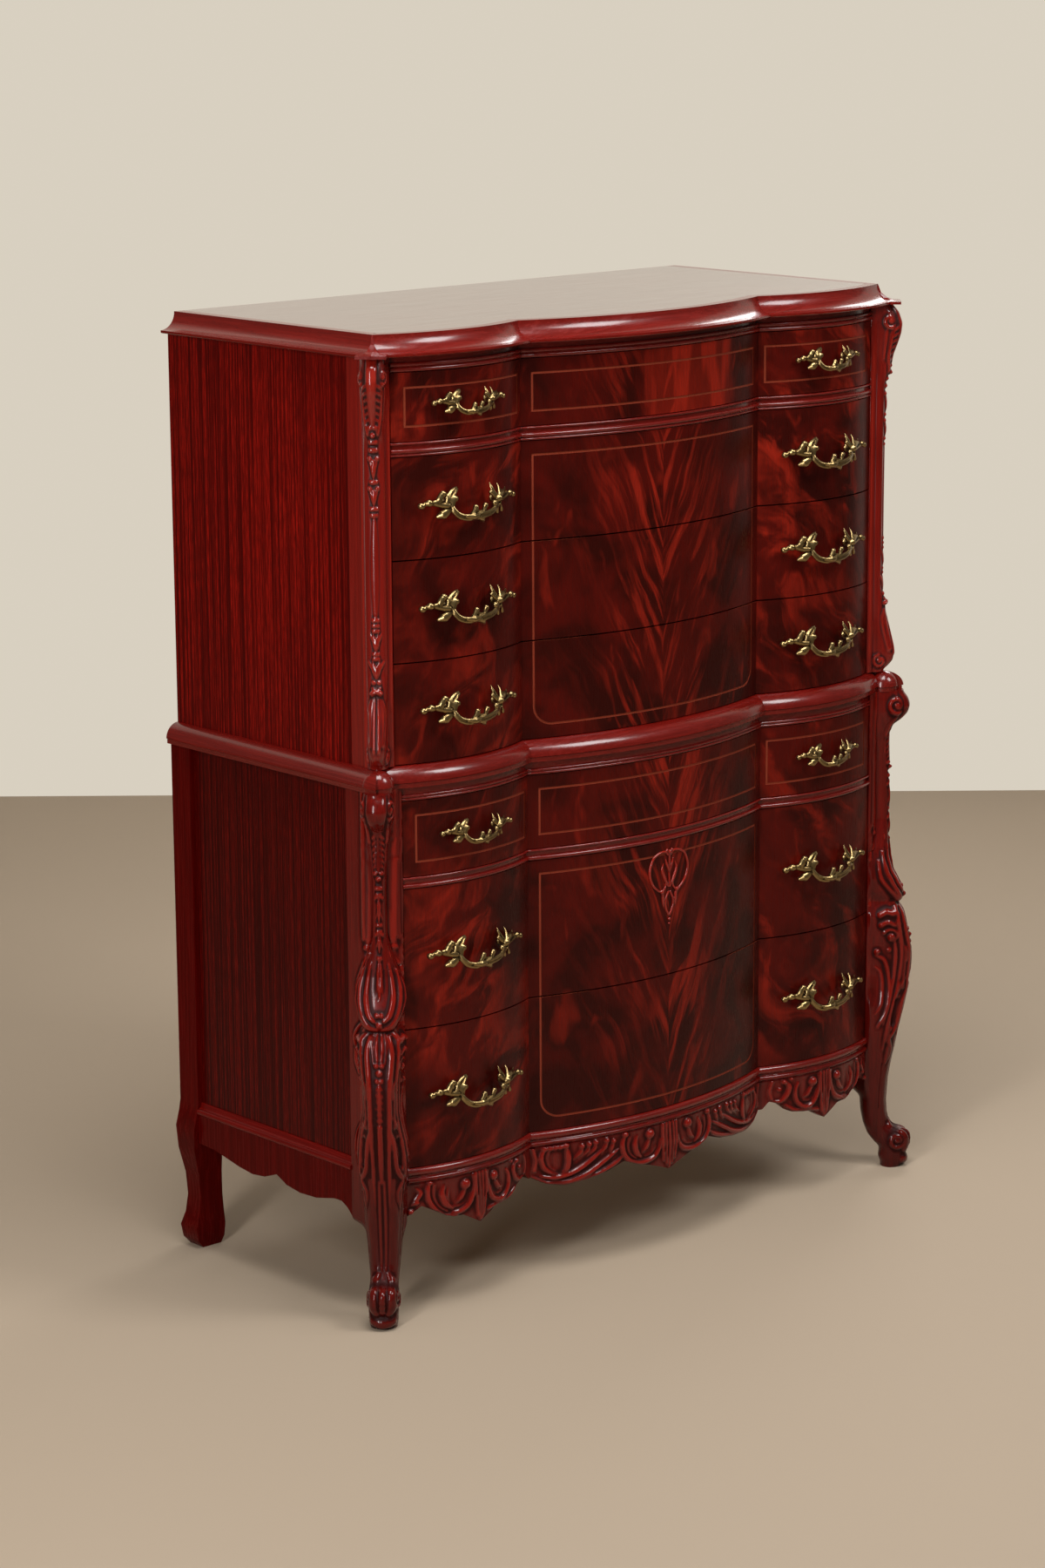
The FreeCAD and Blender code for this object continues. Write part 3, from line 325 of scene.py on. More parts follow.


# Drawer fronts
# Serpentine fronts veneered in crotch mahogany, whose flames rise from the middle of each bay,
# with a routed line painted paler, partly the paler wood below and partly a painted highlight on its edges,
# polished like the sides.
bay_edge = 0.229
flame_figure, wires, place, masks = new_group("flame_figure", "Flame", "Shade", "Fibre")
parts = wires.parts(place)
spot_x, spot_z = parts["X"], parts["Z"]
out = wires.maths("ABSOLUTE", spot_x)
on_right = wires.maths("GREATER_THAN", spot_x, 0.0)
in_side_bay = wires.maths("GREATER_THAN", out, bay_edge)
wander = wires.cloud(wires.point(spot_x, 0.0, spot_z), 8.0, 2.0, 0.5)
wander = wires.times(wires.minus(wander, 0.5), 0.09)

# Middle bay: a plume whose rays leave the centre line steeply upwards
rise = wires.times(wires.maths("POWER", out, 0.9), 1.7)
ray = wires.minus(wires.plus(spot_z, wander), rise)
rays = wires.cloud(wires.point(ray, wires.times(out, 0.5), on_right), 27.0, 3.0, 0.6, 0.2)
rays = wires.stretch(rays, 0.46, 0.66)
patch = wires.cloud(wires.point(spot_x, 5.0, wires.times(spot_z, 0.6)), 11.0, 2.0, 0.5)
patch = wires.stretch(patch, 0.38, 0.6, 0.25, 1.0)
plume_centre = 0.045
from_centre = wires.maths("ABSOLUTE", wires.minus(spot_x, plume_centre))
patch = wires.maths("MAXIMUM", patch, wires.stretch(from_centre, 0.075, 0.035, 0.0, 0.85))
plume_spread = 0.105
spread_out = wires.maths("DIVIDE", out, plume_spread)
fading = wires.maths("POWER", 2.718, wires.times(wires.times(spread_out, spread_out), -1.0))
spark = wires.cloud(wires.point(spot_x, 2.0, wires.times(spot_z, 0.5)), 24.0, 2.0, 0.6, 0.6)
spark = wires.stretch(spark, 0.58, 0.75, 0.0, 0.45)
plume = wires.maths("MAXIMUM", wires.times(wires.times(rays, patch), fading), spark)

# Side bays: broad, uneven flames that lean towards the middle, livelier at the top on the right
leant = wires.plus(wires.plus(wires.times(out, 0.79), wires.times(spot_z, 0.61)), wander)
along = wires.minus(wires.times(spot_z, 0.79), wires.times(out, 0.61))
tongue = wires.cloud(wires.point(leant, wires.times(along, 0.45), on_right), 21.0, 3.0, 0.6, 1.1)
tongue = wires.stretch(tongue, 0.44, 0.72, 0.0, 0.75)
broad_patch = wires.cloud(wires.point(leant, wires.times(along, 0.6), 5.0), 8.0, 2.0, 0.5, 0.6)
broad_patch = wires.stretch(broad_patch, 0.38, 0.6, 0.2, 1.0)
livelier = wires.times(on_right, wires.stretch(spot_z, 0.5, 1.15, -0.15, 0.4))
tongues = wires.times(wires.times(tongue, broad_patch), wires.plus(1.0, livelier))

# Top drawer: upright blocks of bright figure right of its middle
flames = wires.add("ShaderNodeMix", data_type="FLOAT")
wires.feed(flames.inputs["Factor"], in_side_bay)
wires.feed(flames.inputs[2], plume)
wires.feed(flames.inputs[3], tongues)
top_drawer_foot = 1.2
on_top_drawer = wires.maths("GREATER_THAN", spot_z, top_drawer_foot)
block = wires.cloud(wires.point(spot_x, 3.0, wires.times(spot_z, 0.2)), 26.0, 2.0, 0.5)
block = wires.times(wires.stretch(block, 0.4, 0.52, 0.42, 1.0), on_top_drawer)
block_centre = 0.062
from_block = wires.maths("ABSOLUTE", wires.minus(spot_x, block_centre))
block = wires.times(block, wires.stretch(from_block, 0.1, 0.07))
flame = wires.maths("MAXIMUM", flames.outputs[0], block)

# Painted shade: the middle bay's figure dims and darkens towards the floor, as less light falls low down
painted_light_share = wires.maths("MAXIMUM", wires.stretch(spot_z, 0.2, 0.7, 0.7, 1.0), in_side_bay)
wires.feed(masks["Flame"], wires.times(flame, painted_light_share, True))
shade = wires.stretch(wires.cloud(wires.point(spot_x, 9.0, spot_z), 9.0, 3.0, 0.6, 0.4), 0.38, 0.64)
# Shade holds a patchy darker tone of the wood, plus the painted shade low in the middle bay.
wires.feed(masks["Shade"], wires.plus(shade, wires.times(wires.minus(1.0, painted_light_share), 1.2), True))
fibre = wires.cloud(wires.point(spot_x, wires.times(spot_z, 0.06), 7.0), 520.0, 2.0, 0.6)
wires.feed(masks["Fibre"], fibre)

flame_veneer, wires, shader = new_finish("flame_mahogany", 0.3, 0.09, 0.03, 0.12)
flame, shade, fibre = wires.group(flame_figure, wires.mapped())
colour = wires.blend(shade, (0.064, 0.0034, 0.002, 1), (0.024, 0.0022, 0.0014, 1))
colour = wires.blend(flame, colour, (0.26, 0.014, 0.006, 1))
colour = wires.blend(wires.stretch(fibre, 0.3, 0.7, 0.0, 0.35), colour, (0.022, 0.002, 0.0013, 1))
# The routed line's paler colour is partly the wood below and partly a painted highlight.
colour = wires.blend(wires.mark("routed"), colour, (0.215, 0.037, 0.018, 1))
wires.feed(shader.inputs["Base Color"], colour)
wires.feed(shader.inputs["Roughness"], wires.stretch(fibre, 0.2, 0.8, 0.24, 0.36))
add_bump(wires, shader, fibre, 0.05, 0.2 * mm)


class Bay:
    """One bay's bow in plan, in metres: where its face lies at any x."""

    def __init__(self, start, end, bow):
        half = math.hypot(end[0] - start[0], end[1] - start[1]) / 2
        self.radius = (half * half + bow * bow) / (2 * bow)
        back = self.radius - bow
        lean = ((end[1] - start[1]) / (2 * half), (start[0] - end[0]) / (2 * half))
        self.x = (start[0] + end[0]) / 2 - lean[0] * back
        self.y = (start[1] + end[1]) / 2 - lean[1] * back

    def face(self, x, proud):
        return self.y - np.sqrt(np.maximum((self.radius + proud) ** 2 - (x - self.x) ** 2, 0))


corner_line = -0.17675


def face_plan(end_out, end_step, crease_step, side_bow, centre_bow):
    end = (end_out, corner_line - end_step)
    crease = (bay_edge, corner_line - crease_step)
    mirrored_crease = (-bay_edge, crease[1])
    return Bay(mirrored_crease, crease, centre_bow), Bay(crease, end, side_bow)


def plan_face(plan, x, proud=0.0):
    """The y of the serpentine face at x, pushed out by proud."""
    centre, side = plan
    out = np.abs(x)
    return np.where(out < bay_edge, centre.face(out, proud), side.face(out, proud))


def read_vectors(items, name):
    values = np.zeros(3 * len(items))
    items.foreach_get(name, values)
    return values.reshape(-1, 3)


def add_mark(mesh, name, domain, values):
    """Keeps one value on each point or face, which a finish reads by its name."""
    mark = mesh.attributes.new(name, "FLOAT", domain)
    mark.data.foreach_set("value", values.reshape(-1).astype(np.float32))


upper_plan = face_plan(0.4615, 0.007, 0.005, 0.026, 0.042)
lower_plan = face_plan(0.4585, 0.017, 0.015, 0.024, 0.045)
plans = [upper_plan] * 4 + [lower_plan] * 3
line_depth = 1.2 * mm
end_margin = 4 * mm
for drawer, plan in zip(drawers, plans):
    front = polished_copy(drawer + "_front", flame_veneer, drawer)
    centres = read_vectors(front.data.polygons, "center")
    behind = centres[:, 1] - plan_face(plan, centres[:, 0])
    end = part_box(drawer + "_front")[1].x - end_margin
    in_line = (behind > line_depth / 4) & (behind < 1.5 * line_depth) & (np.abs(centres[:, 0]) < end)
    add_mark(front.data, "routed", "FACE", in_line)


# Carved corner posts and legs
# Each post is one length of solid mahogany set on the case's corner, carved from the front
# with a console, husks and leaves, and darker in its hollows, partly stain and partly painted shade.
corner_out = 483.0
corner_back = 176.75
slant = math.sqrt(0.5)


def on_corner(along, across):
    """Millimetres out along the corner's diagonal and across it, as x and y of the right corner."""
    return corner_out + slant * (along + across), -corner_back - slant * (along - across)


def smooth_line(points, steps=7):
    """A smooth line through a few chosen points."""
    points = np.array(points, float)
    if len(points) < 3:
        return np.linspace(points[0], points[-1], steps + 1)
    ends = [2 * points[0] - points[1]], points, [2 * points[-1] - points[-2]]
    spots = np.concatenate(ends)
    share = np.linspace(0, 1, steps, endpoint=False)[:, None]
    pieces = []
    for a, b, c, d in zip(spots, spots[1:], spots[2:], spots[3:]):
        pieces.append(0.5 * (2 * b + (c - a) * share + (2 * a - 5 * b + 4 * c - d) * share ** 2
                             + (3 * b - a - 3 * c + d) * share ** 3))
    pieces.append(points[-1:])
    return np.concatenate(pieces)


def spread(value, count):
    value = np.atleast_1d(np.array(value, float))
    return np.interp(np.linspace(0, 1, count), np.linspace(0, 1, len(value)), value)


class Carving:
    """Raised work drawn on an unrolled surface, in millimetres across and up."""

    def __init__(self, across, up, fuller=1.0):
        self.across, self.up, self.fuller = across, up, fuller
        self.height = np.zeros(across.shape)

    def measure(self, line, reach):
        """Which spots lie near a line, how far from it and how far along it."""
        low, high = line.min(0) - reach, line.max(0) + reach
        near = (self.across > low[0]) & (self.across < high[0]) & (self.up > low[1]) & (self.up < high[1])
        spots = np.stack([self.across[near], self.up[near]], -1)
        run = np.diff(line, axis=0)
        apart = spots[:, None] - line[None, :-1]
        along = np.clip((apart * run).sum(-1) / np.maximum((run ** 2).sum(-1), 1e-9), 0, 1)
        away = np.linalg.norm(apart - along[..., None] * run, axis=-1)
        best = away.argmin(1) if len(spots) else np.zeros(0, int)
        rows = np.arange(len(spots))
        return near, away[rows, best], (best + along[rows, best]) / len(run)

    def ridge(self, points, width, height, crease=0.0):
        """A rounded ridge; width and height may vary from one end to the other."""
        line = smooth_line(points)
        widths, heights = self.fuller * spread(width, len(line)), spread(height, len(line))
        near, away, share = self.measure(line, widths.max())
        places = np.linspace(0, 1, len(line))
        half = np.maximum(np.interp(share, places, widths), 0.05)
        rise = np.interp(share, places, heights) * np.sqrt(np.clip(1 - (away / half) ** 2, 0, 1))
        rise *= 1 - crease * np.exp(-((away / (0.32 * half)) ** 2))
        self.height[near] = np.maximum(self.height[near], rise)

    def groove(self, points, width, depth):
        line = smooth_line(points)
        near, away, share = self.measure(line, 2 * width)
        self.height[near] -= depth * np.exp(-((away / width) ** 2))

    def bead(self, across, up, radius, height=None):
        self.ridge([(across, up), (across, up + 0.01)], radius, height or radius)

    def leaf(self, base, tip, width, height, bend=0.0, crease=0.45):
        base, tip = np.array(base, float), np.array(tip, float)
        side = np.array([tip[1] - base[1], base[0] - tip[0]]) * bend
        self.ridge([base, (base + tip) / 2 + side, tip], (0.35 * width, width, 0.85 * width, 0.15 * width),
                   (0.6 * height, height, height, 0.5 * height), crease)

    def scroll(self, across, up, radius, start, turns, width, height, eye=0.0):
        """A C-scroll that winds in towards its eye; negative turns wind the other way."""
        steps = 14
        angles = math.radians(start) + np.linspace(0, 2 * math.pi * turns, steps)
        radii = np.linspace(radius, 0.38 * radius, steps)
        points = np.stack([across + radii * np.cos(angles), up + radii * np.sin(angles)], -1)
        self.ridge(points, (width, width, 0.7 * width), (height, height, 0.8 * height))
        if eye:
            self.bead(across, up, eye, 1.1 * height)

    def bar(self, half, up, radius, height):
        """A short level ridge over the centre line."""
        self.ridge([(-half, up), (half, up)], radius, height)

    def halves(self):
        """The work seen in a mirror and as it is, for strokes that lie on the left and on the right."""
        mirrored = Carving(-self.across, self.up, self.fuller)
        mirrored.height = self.height
        return mirrored, self


def blurred(grid, reach, times=2):
    """The grid averaged with its neighbours, along both of its directions."""
    for _ in range(times):
        for axis in (0, 1):
            pad = [(reach, reach) if axis == a else (0, 0) for a in (0, 1)]
            total = np.cumsum(np.pad(grid, pad, mode="edge"), axis=axis)
            total = np.insert(total, 0, 0, axis=axis)
            size = 2 * reach + 1
            grid = (np.take(total, np.arange(size, total.shape[axis]), axis=axis)
                    - np.take(total, np.arange(0, total.shape[axis] - size), axis=axis)) / size
    return grid


def eased(value, start, length):
    """A share that rises smoothly from 0 at start to 1 a length later."""
    share = np.clip((value - start) / length, 0, 1)
    return share * share * (3 - 2 * share)


def rising_levels(low, high, step, past_top_share=0.45):
    """Levels a step apart, of which the last is moved to the very top."""
    levels = np.arange(low, high + past_top_share * step, step)
    levels[-1] = high
    return levels


def outline(table, levels, soften=3):
    """Reach or width at each level, through a few chosen points, rounded between them."""
    table = sorted((z, value) for value, z in table)
    values = np.interp(levels, [z for z, value in table], [value for z, value in table])
    kernel = np.hanning(2 * soften + 3)[1:-1]
    padded = np.pad(values, soften, mode="edge")
    return np.convolve(padded, kernel / kernel.sum(), mode="valid")


def resampled(line, count):
    line = np.array(line, float)
    lengths = np.concatenate([[0], np.cumsum(np.linalg.norm(np.diff(line, axis=0), axis=1))])
    lengths += np.arange(len(lengths)) * 1e-6
    places = np.linspace(0, lengths[-1], count)
    return np.stack([np.interp(places, lengths, line[:, k]) for k in (0, 1)], -1)


def section(left, right, half, reach, foot_left, foot_right, counts, power=2.6):
    """One section of a post: left flank, rounded column, right flank, as (across, along)."""
    angles = np.linspace(math.pi, 0, 61)
    cosine, sine = np.cos(angles), np.sin(angles)
    across = half * np.sign(cosine) * np.abs(cosine) ** (2 / power)
    foot = foot_left + (foot_right - foot_left) * (across / half + 1) / 2
    along = foot + (reach - foot) * np.abs(sine) ** (2 / power)
    column = np.stack([across, along], -1)
    left_part = resampled(left + [tuple(column[0])], counts[0])
    right_part = resampled([tuple(column[-1])] + right, counts[2])
    return np.concatenate([left_part[:-1], resampled(column, counts[1]), right_part[1:]])


full_hollow = 0.55


def post_surface(rows, levels, draw_front, draw_flank):
    """Carves the sections and returns points of the right corner and how hollow they are."""
    across, along = rows[..., 0], rows[..., 1]
    up = np.broadcast_to(levels[:, None], across.shape)
    step_across = np.gradient(across, axis=1)
    step_along = np.gradient(along, axis=1)
    size = np.maximum(np.hypot(step_across, step_along), 1e-6)
    lean = np.gradient(along, levels, axis=0)
    facing = np.stack([-step_along / size, step_across / size, -lean * step_across / size], -1)
    facing /= np.linalg.norm(facing, axis=-1, keepdims=True)
    turned = blurred(facing[..., 1], 1, 1)
    share = eased(turned, 0.25, 0.4)
    front, flank = Carving(across, up), Carving(along, up)
    draw_front(front)
    draw_flank(flank)
    height = blurred(front.height * share + flank.height * (1 - share), 1, 1)
    hollow = np.clip((blurred(height, 3) - height) / full_hollow, -1, 1)
    moved = np.stack([across, along, up], -1) + facing * height[..., None]
    x, y = on_corner(moved[..., 1], moved[..., 0])
    return np.stack([x, y, moved[..., 2]], -1) * mm, hollow


def add_primitive(operator, name, **settings):
    bpy.ops.object.select_all(action="DESELECT")
    operator(**settings)
    thing = bpy.context.object
    thing.name = name
    return thing


def skin(name, points, hollow):
    """A mesh over a grid of points, its seam joined and its ends closed."""
    points = np.concatenate([points, points[:, :1]], axis=1)
    hollow = np.concatenate([hollow, hollow[:, :1]], axis=1)
    high, wide = points.shape[:2]
    add_grid = bpy.ops.mesh.primitive_grid_add
    thing = add_primitive(add_grid, name, x_subdivisions=wide - 1, y_subdivisions=high - 1)
    thing.data.vertices.foreach_set("co", points.reshape(-1))
    add_mark(thing.data, "hollow", "POINT", hollow)
    bpy.ops.object.mode_set(mode="EDIT")
    bpy.ops.mesh.select_all(action="SELECT")
    bpy.ops.mesh.remove_doubles(threshold=weld_gap / 2)
    bpy.ops.mesh.select_all(action="DESELECT")
    bpy.ops.mesh.select_mode(type="EDGE")
    bpy.ops.mesh.select_non_manifold(extend=False)
    bpy.ops.mesh.edge_face_add()
    bpy.ops.mesh.select_all(action="SELECT")
    bpy.ops.mesh.normals_make_consistent(inside=False)
    bpy.ops.mesh.select_mode(type="VERT")
    bpy.ops.object.mode_set(mode="OBJECT")
    bpy.ops.object.shade_smooth_by_angle(angle=math.radians(50))
    return thing


def carved_finish(name, dark, bright, worn_and_highlit_red, gloss, coat, darker_from=0.12):
    """Darker in the hollows, partly dark stain and partly painted shade; brighter on the crests, partly
    rubbed polish and partly painted highlight.
    """
    made, wires, shader = new_finish(name, 0.2, gloss, coat, 0.1)
    hollow = wires.mark("hollow")
    place = wires.mapped()
    streak = wires.group(fibres, place)["Streak"]
    level = wires.parts(place)["Z"]
    colour = wires.blend(wires.stretch(streak, 0.3, 0.7), dark, bright)
    # Dark stain and painted shade: the hollows go near black.
    colour = wires.blend(wires.stretch(hollow, 0.05, 0.9, 0.0, 0.92), colour, (0.016, 0.0008, 0.0006, 1))
    # Rubbed polish and painted highlight: the crests go a brighter red.
    colour = wires.blend(wires.stretch(hollow, -0.2, -0.8, 0.0, 0.6), colour, worn_and_highlit_red)
    # Darker towards the floor.
    near_floor = wires.stretch(level, darker_from, 0.03, 0.0, 0.6)
    colour = wires.blend(near_floor, colour, (0.02, 0.0008, 0.0006, 1))
    wires.feed(shader.inputs["Base Color"], colour)
    wires.feed(shader.inputs["Roughness"], wires.stretch(hollow, -0.4, 0.8, 0.17, 0.5))
    wires.feed(shader.inputs["Coat Weight"], wires.stretch(hollow, 0.0, 0.5, coat, 0.0))
    return made


post_wood = carved_finish("carved_mahogany", (0.12, 0.0036, 0.002, 1), (0.175, 0.0056, 0.003, 1),
                          (0.26, 0.014, 0.007, 1), 0.25, 0.5)
# The legs and the apron take the same carved wood in darker tones: painted shade, as less light falls low
# down.
shaded_low_tones = (0.07, 0.0022, 0.0013, 1), (0.115, 0.0036, 0.002, 1), (0.22, 0.009, 0.0045, 1)
shaded_leg_wood = carved_finish("carved_mahogany_leg_shaded", *shaded_low_tones, 0.12, 0.3, 0.34)

upper_low, upper_high = (corner.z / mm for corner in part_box("upper_front_posts"))
upper_step, leg_step = 1.3, 1.45
upper_levels = rising_levels(upper_low, upper_high, upper_step)
upper_reach = outline([
    (16.5, 777), (21.4, 780), (30, 790), (32, 802), (30.5, 812), (25.6, 830), (20.4, 848), (17, 864),
    (15, 885), (12, 900), (12, 1108), (13, 1200), (15, 1212), (19, 1222), (20.2, 1232), (22.3, 1248),
    (27.9, 1264), (32.5, 1279), (33.7, 1293), (29, 1308), (19.2, 1320),
], upper_levels)
upper_half = outline([
    (13, 777), (14, 800), (14, 830), (13.5, 855), (13.8, 870), (14.5, 900), (14.8, 960), (14.8, 1105),
    (14.5, 1200), (14, 1222), (15, 1245), (17, 1270), (18, 1295), (17, 1321),
], upper_levels)
upper_rows = []
upper_counts = (20, 72, 24)
shaft_edge, shaft_widest, edge_lip, strip_lip = 15.5, 17, 0.7, 0.6
left_foot, right_foot = -1.5, -0.5
for half, reach in zip(upper_half, upper_reach):
    swell = 4.5 * (1 - (half / shaft_widest) ** 2)
    edge = max(half + edge_lip, shaft_edge)
    pushed = edge - shaft_edge
    between = 0.5 * (edge + half)
    left = [(3.7, -34.1), (-21.0, -9.4), (-max(18.5, edge + strip_lip), -5.2)]
    left += [(-edge, -1.8 - 0.3 * pushed), (-between, left_foot + 0.75 * swell)]
    right = [(between, right_foot + 0.75 * swell), (edge, 0.2 - 0.6 * pushed)]
    right += [(max(17.4, edge + strip_lip), -0.6 - max(0.0, edge - 16.8)), (36.8, -19.8)]
    feet = left_foot + swell, right_foot + swell
    upper_rows.append(section(left, right, half, reach, *feet, upper_counts, 2.1))
upper_rows = np.array(upper_rows)


def upper_front_work(work):
    top = upper_high
    # edge strips
    work.ridge([(-18.6, upper_low), (-18.6, top)], 2.0, 1.3)
    work.groove([(-16.2, upper_low), (-16.2, top)], 0.9, 1.0)
    work.ridge([(16.8, upper_low), (16.8, top)], 1.5, 0.9)
    # console with its rib, side strips and braided leaves
    work.ridge([(0, 1318), (0, 1290), (0, 1250), (0, 1226)], (7.5, 7, 5, 3.5), (2.6, 3.4, 2.6, 1.5))
    for half in work.halves():
        half.ridge([(15, 1310), (14, 1278), (10, 1245), (6.5, 1222)], 2.0, 2.2)
        for step in range(7):
            z = 1290 - 9 * step
            half.leaf((6.4 - 0.35 * step, z), (13.2 - 0.9 * step, z - 8.5), 2.3, 2.0, 0.1)
        half.bead(3.1, 1231, 3.0, 3.4)
        half.leaf((2.5, 1234), (5, 1219), 2.4, 2.4, -0.1)
    work.bead(0, 1221, 3.4, 5.5)
    # beads and husks above the plain shaft
    for z, radius in ((1211.6, 3.6), (1200.8, 3.6), (1158.4, 3.2), (1123, 3.2), (1114.7, 2.8)):
        work.bar(2.7, z, radius, 0.9 * radius)
    for top_z, low_z in ((1192, 1164), (1152.5, 1128)):
        for half in work.halves():
            half.bead(4.6, top_z - 2.5, 3.2, 3.2)
            half.leaf((4.8, top_z), (1.2, low_z), 3.8, 2.8, 0.08)
        work.leaf((0, top_z - 4), (0, low_z - 3), 2.8, 3.8, 0, 0.2)
    # plain shaft with its centre ridge
    work.ridge([(0, 1110), (0, 975)], (2.4, 5.4, 5.4, 2.4), 1.5)
    # beads and upturned husks below it
    for z, radius in ((974.4, 3.0), (967.4, 3.0), (960.4, 3.0), (929.4, 2.8), (923, 2.8)):
        work.bar(2.4, z, radius, 0.9 * radius)
    for low_z, top_z, wide in ((933, 957, 8.25), (896, 920, 11.25)):
        for half in work.halves():
            half.leaf((1.2, low_z), (wide, top_z), 3.4, 2.6, -0.12)
            half.leaf((0.8, low_z + 2), (0.45 * wide, top_z + 1), 2.8, 3.0, -0.05)
        work.leaf((0, low_z), (0, top_z - 6), 2.6, 3.2, 0, 0.2)
    for z, wide in ((891, 3.4), (883.5, 3.8)):
        for half in work.halves():
            half.bead(wide, z, 3.2, 3.0)
    work.ridge([(-4.6, 877), (0, 879.5), (4.6, 877)], 3.6, 6.5)
    # fluted bud over the bottom scroll
    for half in work.halves():
        half.ridge([(1.8, 872), (2.6, 845), (3.0, 800)], (1.7, 2.5, 2.3), (1.8, 2.6, 1.4))
        half.ridge([(4.4, 871), (7.2, 848), (7.6, 808)], (2.0, 2.9, 2.0), (1.8, 2.8, 1.2))
        half.ridge([(6.6, 868), (11.6, 846), (12, 812)], (2.0, 2.8, 1.6), (1.6, 2.4, 0.9))
    work.groove([(0, 868), (0, 800)], 0.8, 1.1)


def upper_flank_work(work):
    # console volute with its eye, and the strand that runs down from it
    work.scroll(19, 1297, 12, 60, -1.2, 2.6, 2.6, 4.2)
    work.ridge([(27, 1286), (22, 1264), (16, 1245), (13, 1226)], (2.6, 2.2, 1.4), (2.4, 2, 1))
    work.ridge([(14, 1284), (12, 1262), (10, 1242)], 1.5, 1.3)
    work.scroll(9.5, 790, 9.5, 100, 1.15, 2.2, 2.4, 3.4)
    work.ridge([(24, 806), (19, 824), (14, 842), (11, 858)], (2.4, 2, 1), (2.2, 1.8, 0.8))


def both_corners(name, node_name, points, hollow, finish):
    """The right and the left piece from the same carving, each with its own mesh."""
    for word, side in (("right", 1), ("left", -1)):
        piece = skin(f"{name}_{word}", points * np.array([side, 1, 1]), hollow)
        fit(piece, finish, "root", node_name)


points, hollow = post_surface(upper_rows, upper_levels, upper_front_work, upper_flank_work)
both_corners("upper_post", "upper_front_posts", points, hollow, post_wood)

leg_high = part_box("front_legs")[1].z / mm
leg_levels = rising_levels(0, leg_high, leg_step)
leg_reach = outline([
    (52, 0), (60, 5), (63, 15), (60.6, 26), (64.6, 33.5), (65.7, 45), (62.8, 53), (53, 58.5), (40.2, 62),
    (35.4, 69), (30.6, 85), (28.9, 106), (30.8, 142), (34.5, 163), (40.2, 189), (45.8, 223), (53.4, 257),
    (60.2, 290), (63, 320), (63.8, 345), (62, 360), (57.2, 380), (50, 405), (43, 416), (44.1, 420),
    (50, 430), (49, 440), (42, 455), (34, 470), (29, 491), (27, 527), (26, 595), (25, 664), (25.5, 680),
    (31.9, 694), (42.4, 702), (51, 712), (53.8, 723), (51.5, 732), (44.4, 742),
], leg_levels)
leg_half = outline([
    (18.5, 0), (20.5, 12), (21, 45), (19.5, 60), (21.5, 80), (24, 110), (27, 150), (30.5, 185), (34.5, 215),
    (35.5, 240), (34, 262), (29, 285), (26.5, 310), (28, 350), (32, 382), (34, 402), (28, 416), (25, 423),
    (31, 440), (33.5, 458), (31.5, 476), (23, 500), (15, 525), (10, 545), (9, 600), (10, 640), (12.5, 670),
    (17.5, 692), (21, 712), (21, 735), (19.5, 745),
], leg_levels)
leg_inside = outline([
    (22, 0), (22.6, 4), (18.6, 15), (20, 25), (19.1, 31), (11.4, 38), (2, 50), (-5.1, 68), (-9.2, 89),
    (-11.1, 113), (-14.3, 127), (-16, 200),
], leg_levels)
leg_rows = []
leg_counts = (26, 112, 26)
shaft_widest, strips_hidden_from = 23, 22
face_line, side_line = 35.0, 32.4
free_from, blend_length = 106, 34
quarter_turn = np.linspace(math.pi / 2, 0, 8)
for level, half, reach, inside in zip(leg_levels, leg_half, leg_reach, leg_inside):
    slimmer = 1 - min(half, shaft_widest) / shaft_widest
    foot_left, foot_right = 5.0 + 4.0 * slimmer, 12.0 + 3.0 * slimmer
    left = [(1.6, -36.2), (-30.6, -4.1), (-28.1, -0.4), (-25.0, 2.5)]
    right = [(22.4, 12.9), (46.0, -10.6)]
    if half > strips_hidden_from:
        edge = max(half, 23.5)
        left = left[:2] + [(-0.5 * (30.6 + half), -1.0)]
        right = [(edge, face_line - edge), right[1]]
        foot_right = min(foot_right, face_line - half)
        foot_left = max(1.5, half - side_line)
    post = section(left, right, half, reach, foot_left, foot_right, leg_counts)
    middle = 0.45 * reach + 0.55 * inside
    back = [(half * math.cos(angle), inside + (middle - inside) * (1 - math.sin(angle)))
            for angle in quarter_turn]
    left = [(-across, along) for across, along in back[:-1]]
    leg = section(left, back[-2::-1], half, reach, middle, middle, leg_counts, 2.3)
    share = eased(level, free_from, blend_length)
    leg_rows.append(post * share + leg * (1 - share))
leg_rows = np.array(leg_rows)


def nose(z):
    """How far out the leg reaches at a level."""
    return float(np.interp(z, leg_levels, leg_reach))


